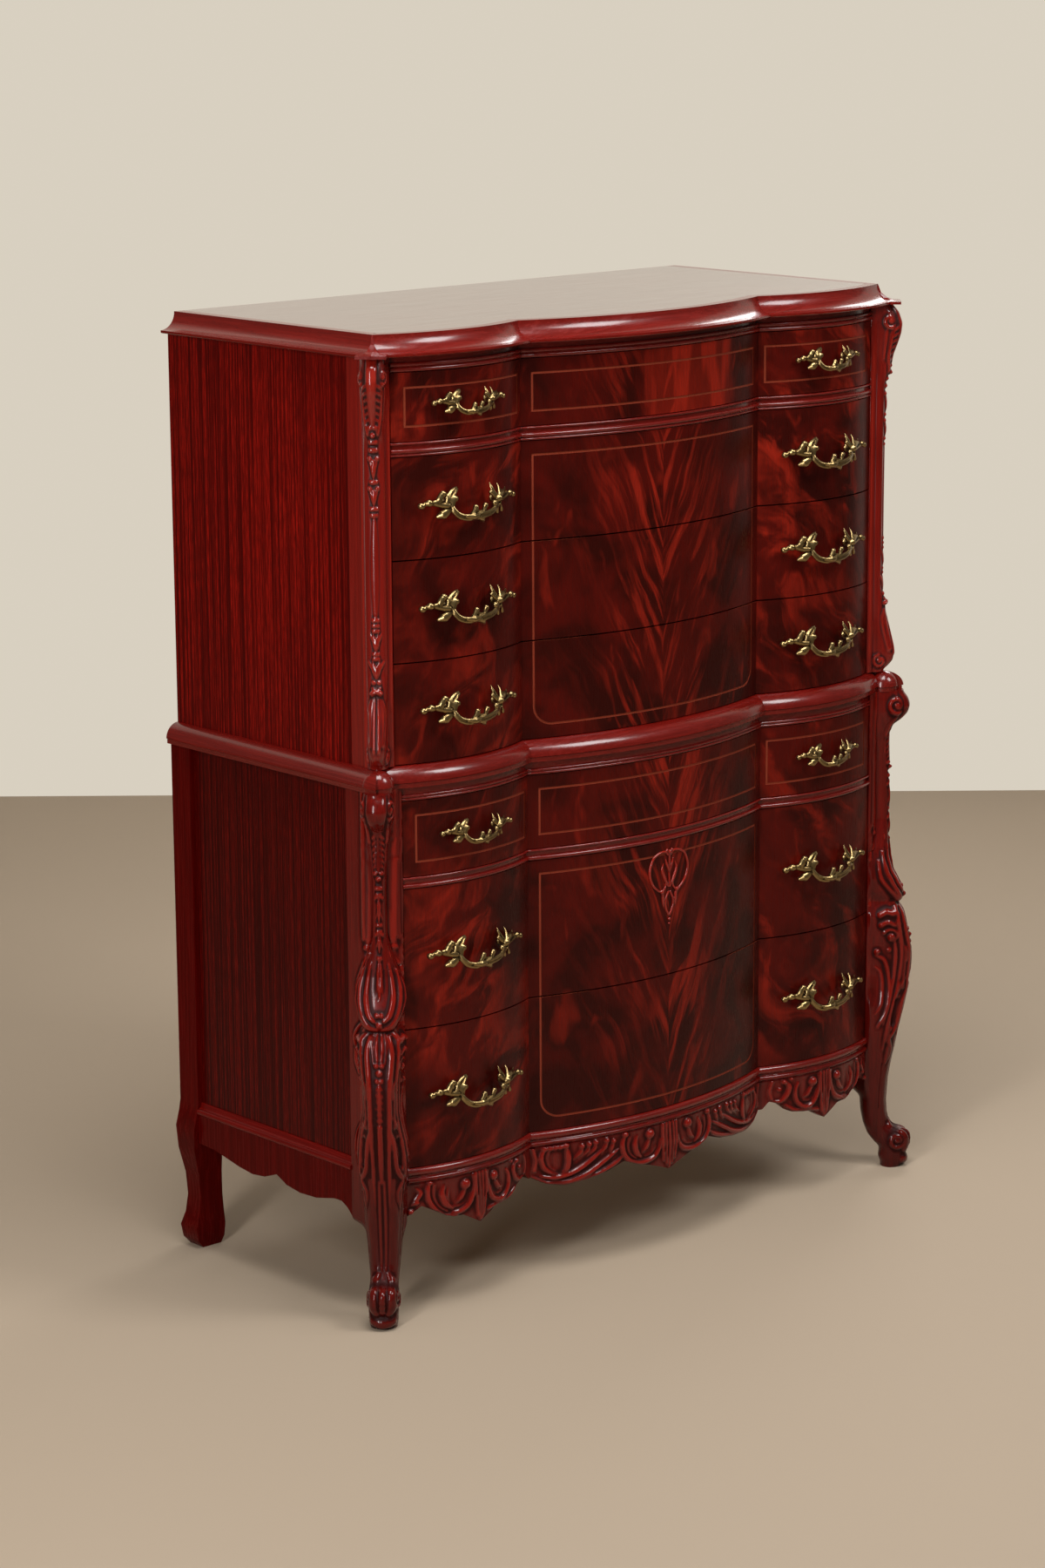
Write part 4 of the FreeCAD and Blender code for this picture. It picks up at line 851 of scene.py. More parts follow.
def leg_front_work(work):
    # edge strips and reeds beside the upper column
    work.ridge([(-28.0, 215), (-28.0, leg_high)], 2.0, 1.3)
    work.groove([(-25.2, 470), (-25.2, leg_high)], 1.1, 1.5)
    for half in work.halves():
        half.ridge([(21.5, 745), (21.5, 540)], 2.6, 2.0)
        half.ridge([(14.5, 690), (14.5, 560), (16, 536)], (1.6, 2.6, 2.8), (1.0, 2.2, 2.4))
        half.bead(18.5, 528, 3.4, 4.0)
        half.leaf((18, 534), (15, 516), 2.6, 2.4, 0.1)
    # volute head: a smooth lobe between its edge strips
    work.ridge([(0, 744), (0, 722), (0, 706), (0, 690)], (13, 14, 11, 6), (2.4, 3.4, 2.8, 1.4))
    for half in work.halves():
        half.ridge([(18, 742), (18.5, 716), (13.5, 694), (11.5, 676)], 2.4, 2.6)
    # centre rib between braided strips
    work.ridge([(0, 692), (0, 660), (0, 636)], (2.0, 2.6, 3.2), (1.6, 2.2, 2.6))
    for half in work.halves():
        for step in range(7):
            z = 690 - 8.2 * step
            half.leaf((2.6 + 0.1 * step, z), (9.2 - 0.45 * step, z - 9.5), 2.5, 2.4, 0.12)
        half.ridge([(11.5, 690), (9.8, 655), (7, 632)], 1.2, 1.2)
        half.bead(3.4, 634, 3.2, 4.2)
    work.bead(0, 627, 3.8, 6.5)
    # beads, bellflowers and the long leaf
    for wide, z, radius in ((2, 613.5, 3.3), (2, 605.5, 2.8), (2, 563, 2.6), (2, 554.6, 2.6), (1, 517, 3.0)):
        work.bar(wide, z, radius, radius)
    for top_z, low_z, wide in ((603, 568, 4.6), (552, 528, 4.6)):
        for half in work.halves():
            half.leaf((1.0, top_z), (wide, low_z + 3), 2.6, 2.6, 0.10)
            half.ridge([(1.2, top_z - 1), (4.4, top_z - 2.5)], 2.0, 2.8)
        work.leaf((0, top_z - 2), (0, low_z - 4), 2.6, 4.0, 0, 0.25)
    work.leaf((0, 516), (0, 462), 4.2, 4.4, 0, 0.5)
    for half in work.halves():
        half.leaf((2.0, 510), (4.2, 466), 2.4, 2.6, 0.02)
        # U-shaped cup of leaves
        half.ridge([(16, 520), (23, 500), (29, 474), (27, 446), (16, 428), (3, 424)],
                   (1.6, 3.4, 5.6, 6.0, 5.2, 3.4), (1.6, 2.8, 4.8, 5.4, 4.8, 3.8), 0.3)
        half.ridge([(12, 510), (16.5, 484), (18, 462), (14, 443), (6.5, 435)],
                   (1.6, 2.8, 4.0, 4.0, 3.0), (1.4, 2.6, 3.8, 4.0, 3.2), 0.2)
        half.leaf((32, 486), (34, 452), 2.8, 3.0, 0.1)
        half.bead(3.2, 442.5, 2.9, 4.6)
    work.bead(0, 430.5, 4.4, 6.4)
    # knee: flutes, knot, beads and ribbed leaf between long strands
    for half in work.halves():
        half.ridge([(2.6, 417), (3.6, 400), (2.8, 381)], (2.3, 3.0, 2.0), (2.4, 3.4, 2.2))
        half.ridge([(7, 417), (9.5, 400), (8, 378)], (2.2, 2.9, 2.0), (2.2, 3.0, 1.6))
        half.bead(3.6, 375.5, 3.2, 3.8)
        half.bead(2.9, 356, 2.7, 3.2)
        half.ridge([(12, 413), (16, 390), (13, 340), (12.5, 290), (11, 230), (9.5, 170)],
                   (3.0, 4.2, 3.6, 3.2, 2.6, 1.6), (3.0, 4.2, 3.4, 3.0, 2.4, 1.2))
        half.ridge([(17, 416), (25, 405), (25, 372), (20, 330), (18, 286)],
                   (3.0, 4.4, 4.4, 4.0, 2.4), (3.0, 4.6, 4.2, 3.4, 1.8))
        half.ridge([(20, 421), (28, 416), (34, 404), (33.5, 391), (28, 384), (23, 388)],
                   (3.2, 4.4, 5.0, 4.8, 4.0, 2.6), (2.8, 4.2, 5.2, 5.2, 4.6, 3.0))
        half.ridge([(36, 384), (35, 366), (32, 350)], (2.6, 3.6, 1.8), (2.4, 3.6, 1.8))
        half.leaf((29, 368), (22, 312), 5.0, 4.0, 0.12)
        half.groove([(27, 401), (27.5, 396)], 2.6, 3.4)
        half.groove([(29.5, 380), (28.5, 372)], 2.4, 3.0)
        half.leaf((4.5, 352), (6.5, 300), 1.8, 1.6, 0)
        for step in range(6):
            half.leaf((1.0, 349 - 9 * step), (4.6, 342 - 9 * step), 1.6, 1.8, 0.1)
        # deep slot beside the leg's top, between two flowing strands
        half.ridge([(16, 304), (23, 288), (33, 264), (35.5, 240), (30, 212), (21, 192)],
                   (2.2, 3.4, 4.2, 4.0, 3.4, 2.2), (2.0, 3.4, 4.4, 4.2, 3.4, 2.0))
        half.ridge([(13.5, 284), (17, 266), (19, 242), (22, 222), (29, 206)],
                   (2.2, 3.0, 3.2, 3.2, 2.4), (2.0, 3.2, 3.6, 3.4, 2.4))
        half.groove([(25, 268), (27.5, 246), (26, 230)], 2.6, 5.0)
        half.leaf((26, 206), (23, 166), 4.4, 2.4, 0.05)
        # flutes down the leg
        half.ridge([(3.6, 208), (3.8, 140), (3, 78)], (1.8, 2.4, 1.6), (1.2, 1.8, 0.9))
        half.ridge([(14, 208), (14, 140), (11.5, 78)], (4.2, 7.5, 4.6), (1.0, 1.0, 0.6))
    work.bead(0, 366, 4.2, 5.0)
    work.leaf((0, 352), (0, 292), 3.0, 3.4, 0, 0.3)
    work.ridge([(0, 290), (0, 250), (0, 206)], (3.4, 4.4, 2.4), (2.6, 3.0, 1.4))
    for half in work.halves():
        half.groove([(5.6, 288), (6.2, 230)], 1.2, 1.6)
    # toe: a column of small beads between two scrolls, over a round pad
    for step in range(5):
        work.bead(0, 56 - 7 * step, 5.0, 3.6)
    for half in work.halves():
        half.ridge([(7, 72), (13, 58), (13.5, 38), (9.5, 24)], (3.4, 6.0, 6.6, 5.0), (1.8, 3.8, 4.2, 3.2))
    work.ridge([(-14, 12), (0, 9), (14, 12)], (5.5, 7.0, 5.5), (2.2, 3.4, 2.2))
    work.groove([(-16, 22), (0, 20.5), (16, 22)], 1.6, 2.2)


def leg_flank_work(work):
    # head volute and its eye
    work.scroll(37, 724, 14.5, 30, -1.35, 3.2, 3.2, 5.0)
    work.ridge([(44, 708), (34, 694), (25, 676), (20, 650)], (3.0, 2.6, 1.6), (2.6, 2.2, 1.0))
    # cup
    work.ridge([(18, 500), (24, 478), (36, 458), (44, 440)], (3.0, 3.6, 3.4, 2.6), (2.6, 3.4, 3.0, 2.0))
    work.ridge([(12, 486), (16, 462), (28, 444), (40, 430)], (2.6, 3.4, 3.2, 2.4), (2.2, 3.0, 2.8, 2.0))
    # knee: lobed scroll, eye, strands that follow the outline and an oval panel
    work.ridge([(16, 404), (26, 408), (38, 402), (46, 390)], (4.6, 4.6, 4.0, 3.0), (4.0, 4.2, 3.2, 2.0))
    work.ridge([(18, 388), (28, 392), (38, 386)], (4.2, 4.0, 2.8), (4.2, 3.8, 2.0))
    work.bead(33, 369, 5.6, 4.6)
    work.scroll(33, 369, 12.5, 150, -0.8, 2.4, 2.6)
    for inset, low in ((6, 170), (14, 190), (22, 232)):
        spots = [(nose(z) - inset - 0.02 * (400 - z), z) for z in np.linspace(398 - 1.5 * inset, low, 7)]
        work.ridge(spots, (2.2, 3.2, 3.2, 1.6), (1.6, 2.6, 2.4, 1.0))
    work.ridge([(10, 340), (24, 330), (31, 296), (28, 256), (14, 228)],
               (2.0, 2.8, 3.0, 2.8, 2.0), (1.6, 2.6, 2.8, 2.6, 1.8))
    work.ridge([(9, 322), (18, 312), (21, 290), (19, 264), (10, 248)],
               (1.4, 1.8, 2.0, 1.8, 1.4), (1.0, 1.6, 1.8, 1.6, 1.0))
    work.bead(12, 345, 4.2, 4.4)
    work.bead(30, 348, 3.0, 3.0)
    # leg: outlined panel
    work.groove([(22, 168), (19, 130), (18, 96)], 1.0, 1.2)
    # toe spiral
    work.scroll(47, 43, 13.5, 75, -1.3, 3.2, 3.0, 4.2)


points, hollow = post_surface(leg_rows, leg_levels, leg_front_work, leg_flank_work)
both_corners("front_leg", "front_legs", points, hollow, shaded_leg_wood)


# Rear legs and side aprons
# Plain shaped legs sawn from the solid, and thin aprons with lobed edges tenoned between the legs,
# all stained and polished like the carved work.
plain_tones = (0.05, 0.0008, 0.0005, 1), (0.085, 0.0014, 0.0009, 1)
strip_tones = (0.085, 0.002, 0.0012, 1), (0.13, 0.0032, 0.0018, 1)
plain_red = red_moulding("plain_red_mahogany", along_z, *plain_tones, 0.05, 0.0)
strip_red = red_moulding("strip_red_mahogany", along_y, *strip_tones, 0.12, 0.1)
polished_copy("rear_legs", plain_red, angle=40)
polished_copy("side_aprons", plain_red, angle=40)

# A thin moulded strip covers the ledge where each side panel stands on its apron
low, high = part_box("side_aprons")
ledge_back, ledge_front, ledge_up = low.y, high.y, high.z
panel_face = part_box("lower_side_panels")[1].x
strip_profile = np.array([
    (0, 12.5), (1.4, 12.5), (2.2, 11.2), (3.0, 8.0), (4.8, 5.4), (7.4, 4.0), (9.2, 3.2), (10.4, 1.8),
    (10.8, -0.4), (10.4, -2.6), (9.4, -4.0), (8.0, -4.4), (8.0, 0), (0, 0),
]) * mm
for word, side in (("right", 1), ("left", -1)):
    add_circle = bpy.ops.mesh.primitive_circle_add
    strip = add_primitive(add_circle, "side_strip_" + word, vertices=len(strip_profile), fill_type="NGON")
    for corner, (out_from_panel, above_ledge) in zip(strip.data.vertices, strip_profile):
        corner.co = (side * (panel_face + out_from_panel), ledge_back, ledge_up + above_ledge)
    bpy.ops.object.mode_set(mode="EDIT")
    bpy.ops.mesh.select_all(action="SELECT")
    length = {"value": (0, ledge_front - ledge_back, 0)}
    bpy.ops.mesh.extrude_region_move(TRANSFORM_OT_translate=length)
    bpy.ops.mesh.select_all(action="SELECT")
    bpy.ops.mesh.normals_make_consistent(inside=False)
    bpy.ops.object.mode_set(mode="OBJECT")
    bpy.ops.object.shade_smooth_by_angle(angle=math.radians(40))
    fit(strip, strip_red, "root")


# Front apron
# One serpentine board under the lowest drawer, sawn to lobes and points, then carved with
# shells, sweeping leaves, gadroons and beads.
apron_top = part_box("front_apron")[1].z / mm
apron_end = 458.5
apron_thick, apron_ground, apron_back = 20.0, 1.5, 6.0
apron_step = 1.3
apron_columns = np.arange(-apron_end, apron_end + apron_step / 2, apron_step)
apron_edge = outline([
    (117, 0), (122, 12), (131, 38), (136, 58), (146, 84), (136, 113), (130, 146), (127, 182), (133, 208),
    (145, 228), (145, 235), (156, 245), (149, 265), (135, 282), (132, 303), (131, 315), (114.5, 345),
    (131, 375), (132, 392), (135.5, 403), (146, 422), (155, 439), (142.4, 458.5),
], np.abs(apron_columns), 1)
apron_edge = apron_edge[:, None]
apron_up = apron_top - (apron_top - apron_edge) * np.linspace(0, 1, 62)
apron_out = np.broadcast_to(np.abs(apron_columns)[:, None], apron_up.shape)


def side_bay_work(work):
    # curl and ribs beside the leg
    work.bead(455, 149, 3.8, 4.5)
    work.ridge([(452, 160), (446, 169), (441, 178), (447, 186)], (1.5, 3, 3, 1.4), (2, 3.5, 3, 1.5))
    work.bead(447, 163, 3.4, 4.2)
    work.ridge([(441, 151), (432, 146), (420, 139), (405, 134), (388, 132)], (2.5, 3.6, 3.6), (3, 4, 3.5))
    work.ridge([(428, 192), (431, 180), (430, 165), (421, 149), (408, 138)],
               (2, 3, 3.2, 3, 2), (2, 3.8, 4, 3.6, 2))
    work.bead(427, 191, 2.8, 4.0)
    work.ridge([(421, 188), (422, 170), (415, 153), (402, 142)], 1.5, 1.8)
    work.ridge([(406, 184), (410, 170), (405, 155), (394, 145)],
               (1.5, 3.6, 4, 2), (1.5, 4.2, 4.6, 2.5), 0.3)
    work.ridge([(399, 178), (402, 166), (398, 155)], (1, 2.2, 1), (1, 2.2, 1))
    # open ring with its eye, then gadroons down to the point
    work.ridge([(394, 138), (380, 138.5), (367, 146), (359.5, 160), (357, 176), (358, 190)],
               (2.2, 3.6, 3.6, 3, 2), (2.5, 4.6, 4.6, 3.6, 2.2))
    work.ridge([(392, 147), (380, 147), (371, 153), (365, 164)], 1.3, 1.4)
    work.bead(372, 179, 6.4, 6.4)
    work.ridge([(373, 172), (379, 160), (388, 152)], (3.2, 3.6, 1.5), (2.8, 2.6, 1))
    for head, foot, low in ((354, 350.5, 124), (348, 347, 119), (342, 343, 119), (336, 339, 125)):
        work.ridge([(head, 193), (head - 0.5, 165), (foot, low)], (1.9, 2.1, 1.5), (3.2, 4.6, 3.2))
    # second ring and the curl beside the crease
    work.ridge([(332, 189), (331, 170), (327, 153), (318, 142), (305, 139), (294, 146),
                (288, 158), (288, 172), (293, 182)],
               (2, 3.2, 3.4, 3.4, 3, 2), (2, 4.4, 4.6, 4.4, 3.8, 2))
    work.ridge([(325, 166), (322, 155), (313, 149), (304, 151)], 1.3, 1.4)
    work.bead(320, 180, 6.2, 6.2)
    work.ridge([(318, 173), (311, 161), (303, 156)], (3.2, 3.6, 1.4), (2.8, 2.6, 1))
    work.ridge([(332, 130), (318, 133), (300, 134), (285, 138), (272, 147)],
               (2, 3.2, 3.2, 2), (2, 3.4, 3.4, 2))
    work.ridge([(270, 189), (277, 178), (273, 165), (263, 156), (252, 157)],
               (2, 3.6, 3.6, 2.4, 1.6), (2, 4, 4, 3, 2), 0.3)
    work.bead(268, 188, 3.0, 4.2)
    work.bead(281, 191, 2.4, 3.4)
    work.bead(261, 176, 2.6, 3.4)
    work.ridge([(249, 190), (245, 175), (248, 162)], 2.2, 2.2)


def centre_bay_work(work):
    # C-shaped band and beaded panel beside the crease
    work.ridge([(209, 190), (214.5, 176), (211, 160), (200, 149), (190, 146)],
               (2, 3, 3, 2.6, 1.6), (2, 4, 4, 3, 1.6))
    work.ridge([(203, 185), (206, 174), (203, 161), (195, 153)], 1.5, 1.8)
    for out in (209, 201, 193.5, 186):
        work.bead(out, 189, 3.4, 3.6)
    work.bead(178, 190, 3.6, 5.0)
    work.ridge([(178, 188), (175, 170), (177, 153), (184, 147)], (2.4, 4, 3.6, 1.8), (2.6, 5, 4.6, 2), 0.25)
    work.ridge([(226, 190), (222, 172), (224, 156)], 2.4, 2.6)
    # long leaf that sweeps up in double ridges
    work.ridge([(214, 145), (200, 141.5), (184, 141.5), (166, 146), (148, 155), (133, 165), (121, 173)],
               (2, 3, 3.4, 3.4, 3, 1.6), (2, 4.4, 5, 5, 4.2, 2))
    work.ridge([(200, 136), (182, 132.5), (163, 134), (144, 140), (126, 150), (108, 161), (94, 169)],
               (2, 3, 3.4, 3.4, 3, 1.6), (2, 4.4, 5, 5, 4.2, 2))
    work.ridge([(226, 145), (208, 135), (184, 130), (160, 131), (138, 134.5), (114, 141),
                (95, 150), (86, 158)],
               (2, 2.8, 3, 3, 2.8, 1.6), (2, 3.8, 4, 4, 3.6, 2))
    for out, z, foot in ((153, 185, 167), (142, 186, 157), (131, 187, 145), (113, 187, 122), (102, 184, 108)):
        work.bead(out, z, 3.2, 4.2)
        work.ridge([(out, z - 2), (out + 3, z - 10), (foot, z - 20)], (2.2, 2.8, 1.4), (2.4, 3, 1.2), 0.2)
    # open ring with its eye, then the centre ribs
    work.ridge([(82, 190), (87, 176), (85, 160), (75, 146), (60, 139), (44, 138.5), (29, 143),
                (20, 154), (17, 168)],
               (2, 3.2, 3.4, 3.4, 3.2, 3, 2), (2, 4.4, 4.6, 4.6, 4.4, 3.6, 2))
    work.bead(82, 190, 3.8, 5.0)
    work.ridge([(74, 184), (77, 170), (73, 156), (63, 147)], 1.5, 1.8)
    work.ridge([(61, 184), (65, 170), (62, 156), (54, 147)],
               (1.6, 3.6, 3.6, 1.8), (1.8, 4.6, 4.6, 2.2), 0.3)
    work.bead(38, 182, 6.2, 6.4)
    work.ridge([(39, 175), (44, 162), (52, 154)], (3.2, 3.6, 1.5), (2.8, 2.6, 1))
    work.ridge([(46, 147), (35, 150), (27, 159)], 1.3, 1.4)
    for head, foot, low, wide in ((0, 0, 121, 2.6), (6.8, 5.2, 126, 2.4), (13, 10.8, 132, 2.2)):
        work.ridge([(head, 193), (head + 0.4, 160), (foot, low)],
                   (0.8 * wide, wide, 0.7 * wide), (3.4, 5.0, 3.2))


# The carving hangs a little lower than it was drawn, which leaves a plain band for a bead at the top
apron_drop = 5.0
drop_share = np.clip((apron_up - 138) / 44, 0, 1)
apron_fuller = 1.3
apron_work = Carving(apron_out, apron_up + apron_drop * drop_share, apron_fuller)
side_bay_work(apron_work)
centre_bay_work(apron_work)
relief = blurred(apron_work.height, 1, 1)
apron_full_hollow = 1.3
hollow = np.clip((blurred(relief, 4) - relief) / apron_full_hollow, -1, 1)
round_width, round_depth = 4.0, 2.5
from_edge = np.clip((apron_up - apron_edge) / round_width, 0, 1)
relief = relief - round_depth * (1 - np.sqrt(1 - (1 - from_edge) ** 2))
bead_up, bead_half = 193.2, 3.6
line_up, line_width, line_deep = 188.6, 1.0, 1.0
top_bead = bead_half * np.sqrt(np.clip(1 - ((apron_up - bead_up) / bead_half) ** 2, 0, 1))
top_line = line_deep * np.exp(-((apron_up - line_up) / line_width) ** 2)
relief = np.maximum(relief, top_bead) - top_line


def on_apron(up, off_face):
    """Points in metres on columns along the apron, from millimetres up and off the plan's face."""
    x = np.broadcast_to(apron_columns[:, None], up.shape) * mm
    return np.stack([x, plan_face(lower_plan, x, off_face * mm), up * mm], -1)


back_up = apron_edge + (apron_top - apron_edge) * np.linspace(0, 1, 6)
front_points = on_apron(apron_up, apron_ground + relief)
points = np.concatenate([front_points, on_apron(back_up, apron_back - apron_thick)], 1)
hollow = np.concatenate([hollow, np.zeros(back_up.shape)], 1)
apron = skin("front_apron_carved", points, hollow)
# The apron takes the legs' darker tones: painted shade, as less light falls low down.
shaded_apron_wood = carved_finish("carved_mahogany_apron_shaded", *shaded_low_tones, 0.14, 0.42)
fit(apron, shaded_apron_wood, "root", "front_apron")


# Pulls
# Cast brass bails with leaf sprays and berries, lacquered an old gold, worn on their crests,
# and each held by two bolts through the drawer front.
def strand(points, thickness):
    """A smooth rod through a few points, whose radius varies along it."""
    line = smooth_line(points)
    return line, spread(thickness, len(line))


def berry(u, z, stand, radius):
    places = np.linspace(-1, 1, 9)
    line = np.array([u, z, stand]) + radius * places[:, None] * np.array([1, 0, 0])
    return line, radius * np.sqrt(np.maximum(1 - places ** 2, 0.01))


def applied(thing, kind, **settings):
    """Puts one modifier on the selected piece and makes its effect lasting."""
    modifier = thing.modifiers.new(kind.lower(), kind)
    for name, value in settings.items():
        setattr(modifier, name, value)
    bpy.ops.object.modifier_apply(modifier=modifier.name)


def cast(name, rods, fineness, faces):
    """Rods given as across, up and off the face, in millimetres, melted into one closed piece."""
    curve = bpy.data.curves.new(name, "CURVE")
    curve.dimensions = "3D"
    curve.bevel_depth = mm
    curve.bevel_resolution = 3
    curve.use_fill_caps = True
    for line, radii in rods:
        spline = curve.splines.new("POLY")
        spline.points.add(len(line) - 1)
        for spot, (u, z, stand), radius in zip(spline.points, line, radii):
            spot.co = (u * mm, -stand * mm, z * mm, 1)
            spot.radius = radius
    thing = bpy.data.objects.new(name, curve)
    bpy.context.scene.collection.objects.link(thing)
    select_only(thing)
    bpy.ops.object.convert(target="MESH")
    thing = bpy.context.object
    applied(thing, "REMESH", mode="VOXEL", voxel_size=fineness * mm)
    applied(thing, "SMOOTH", iterations=2)
    applied(thing, "DECIMATE", ratio=min(1.0, faces / (2 * len(thing.data.polygons))))
    mark_hollows(thing.data)
    return thing


def mark_hollows(mesh, rounds=9):
    """Notes how hollow each spot is, from how far it lies below its neighbourhood."""
    spots, normals = read_vectors(mesh.vertices, "co"), read_vectors(mesh.vertices, "normal")
    ends = np.zeros(2 * len(mesh.edges), int)
    mesh.edges.foreach_get("vertices", ends)
    first, second = ends[::2], ends[1::2]
    starts, stops = np.concatenate([first, second]), np.concatenate([second, first])
    links = np.maximum(np.bincount(starts, minlength=len(spots)), 1)
    level = spots
    for _ in range(rounds):
        level = np.stack([np.bincount(starts, level[stops, k], len(spots)) / links for k in range(3)], -1)
    below = ((level - spots) * normals).sum(1)
    add_mark(mesh, "hollow", "POINT", np.clip(below / (full_hollow * mm), -1, 1))


def bend_onto(mesh, plan, x=0.0, z=0.0):
    """Moves a casting to its place and bends it to the serpentine face."""
    spots = read_vectors(mesh.vertices, "co") + (x, 0, z)
    spots[:, 1] += plan_face(plan, spots[:, 0])
    mesh.vertices.foreach_set("co", spots.reshape(-1))


pull_post = 44.0
bail = [
    (-44, -1, 15), (-42, -8, 19), (-36, -15, 22), (-26, -18.5, 24.5), (-14, -18.5, 25.5), (-2, -17.5, 25.5),
    (10, -17, 24), (22, -15, 22), (31, -11, 19), (37, -5, 16), (36, 3, 14), (32, 11, 12), (28.5, 19.5, 9),
]
bail_radii = (2.6, 2.7, 2.6, 2.4, 2.6, 2.9, 2.6, 2.4, 2.5, 2.5, 2.3, 1.8, 0.7)
pull_rods = []
for lift in (-2.1, 2.1):
    pull_rods.append(strand([(u, z + lift, stand) for u, z, stand in bail], bail_radii))
for u in (-pull_post, pull_post):
    pull_rods.append(strand([(u, -1, -0.1), (u, -1, 3), (u, -1, 9), (u, -1, 15)], (7.5, 5.5, 4.6, 5.0)))
for points, thickness in (
    # left spray: stem, a small upturned leaf, a tall ribbed leaf, an inner bud and a bud below
    ([(-82, -0.5, 8), (-71, 3, 9), (-58, 0, 11), (-46, -2, 14)], (2.8, 3.2, 3.8, 4.6)),
    ([(-59, 0, 11), (-58, 7, 11), (-53, 14, 10)], (3.4, 4.4, 4.0)),
    ([(-48, -2, 13), (-47, 7, 13), (-42, 14, 11), (-34, 19, 9), (-27, 21.5, 7)], (3.0, 3.4, 3.0, 2.2, 0.6)),
    ([(-44, -3, 15), (-43, 5, 15), (-38, 11, 13), (-31, 16.5, 10), (-26, 19, 8)], (3.0, 3.2, 2.8, 2.0, 0.6)),
    ([(-42, -4, 17), (-41, 3, 17), (-37, 7.5, 15)], (2.6, 3.0, 4.2)),
    ([(-44, -6, 15), (-50, -11, 13), (-54, -14, 11), (-62, -17, 9)], (3.2, 5.4, 6.4, 1.6)),
    # leaf that opens on the bail, its two curls and its point
    ([(-28, -16, 26), (-17, -17.5, 27), (-7, -17, 26.5)], (2.0, 4.8, 3.0)),
    ([(-18, -15, 26), (-14, -10, 26), (-11, -6, 24.5)], (3.0, 3.2, 3.8)),
    ([(-11, -7, 24.5), (-6, -12.5, 24), (3, -12.5, 24), (8, -5.5, 22.5)], (2.6, 2.6, 2.6, 3.6)),
    ([(-6, -19, 25), (2, -23.5, 23), (7, -28.5, 21)], (4.4, 4.0, 0.8)),
    # right spray: its broad wing, three points, stem and two buds below
    ([(36, -3, 17), (44, 3, 14.5), (52, 5.5, 12), (61, 5, 10)], (3.6, 5.2, 4.8, 3.2)),
    ([(38, -4, 17), (43, 5, 14), (46, 13, 10), (45, 19, 7)], (3.4, 3.4, 2.2, 0.6)),
    ([(33, 2, 16), (30, 6, 15), (27, 9, 13)], (2.6, 2.8, 3.2)),
    ([(42, -4, 15), (52, 2, 12), (60, 6, 9), (64, 11, 7)], (3.4, 3.6, 2.6, 0.6)),
    ([(48, -3, 13), (62, 0, 10), (72, 1, 9), (83, -2, 8)], (3.4, 3.6, 3.4, 2.6)),
    ([(38, -8, 17), (39, -14, 14), (41, -19, 12)], (3.2, 2.4, 3.0)),
    ([(43, -7, 15), (48, -12, 13), (51, -17.5, 11)], (3.0, 2.2, 3.2)),
):
    pull_rods.append(strand(points, thickness))
for spot in (
    (-82, -0.5, 8, 4.6), (-72, 3, 10, 5.0), (-64, 3, 10, 3.8), (-52.5, 14, 11, 4.6), (-37.5, 7, 16, 4.4),
    (-53, -14, 12, 5.8), (-11, -6, 25, 4.0), (8, -5.5, 23, 4.0), (29, -5, 19, 4.4), (41, 0, 18, 4.4),
    (27, 9, 14, 3.4), (72, 2, 10, 4.8), (81, -1, 9, 4.4), (51, -17.5, 11, 3.4), (41, -19, 12, 3.2),
):
    pull_rods.append(berry(*spot))

old_gold, wires, shader = new_finish("old_gold_brass", 0.36)
shader.inputs["Metallic"].default_value = 1.0
hollow = wires.mark("hollow")
tarnish = wires.cloud(wires.mapped(), 160.0, 3.0, 0.6)
colour = wires.blend(wires.stretch(tarnish, 0.35, 0.7), (0.21, 0.135, 0.052, 1), (0.11, 0.068, 0.026, 1))
colour = wires.blend(wires.stretch(hollow, -0.1, -0.7, 0.0, 0.6), colour, (0.36, 0.26, 0.115, 1))
colour = wires.blend(wires.stretch(hollow, 0.0, 0.5), colour, (0.022, 0.013, 0.006, 1))
wires.feed(shader.inputs["Base Color"], colour)
wires.feed(shader.inputs["Roughness"], wires.stretch(hollow, -0.3, 0.5, 0.28, 0.6))
add_bump(wires, shader, tarnish, 0.12, 0.4 * mm)

pull_centre = 0.345
small_share = 0.75
pull_heights = (1257, 1122.5, 984.5, 846.5, 677, 510, 313)
shallow_drawers = ("drawer_1", "drawer_5")
pull_fineness, pull_faces = 0.85, 11000
castings = {}
for share in (1.0, small_share):
    # a smaller casting stands off almost as far, so that fingers still fit behind it
    finer = (1 + share) / 2
    scale = np.array([share, share, finer])
    rods = [(line * scale, radii * finer) for line, radii in pull_rods]
    castings[share] = cast("casting", rods, pull_fineness * finer, pull_faces)
for drawer, plan, height in zip(drawers, plans, pull_heights):
    pattern = castings[small_share if drawer in shallow_drawers else 1.0]
    for word, side in (("left", -1), ("right", 1)):
        piece = bpy.data.objects.new(f"{drawer}_pull_{word}", pattern.data.copy())
        bpy.context.scene.collection.objects.link(piece)
        bend_onto(piece.data, plan, side * pull_centre, height * mm)
        select_only(piece)
        bpy.ops.object.shade_smooth()
        fit(piece, old_gold, drawer, drawer + "_pulls")
for pattern in castings.values():
    bpy.data.objects.remove(pattern)


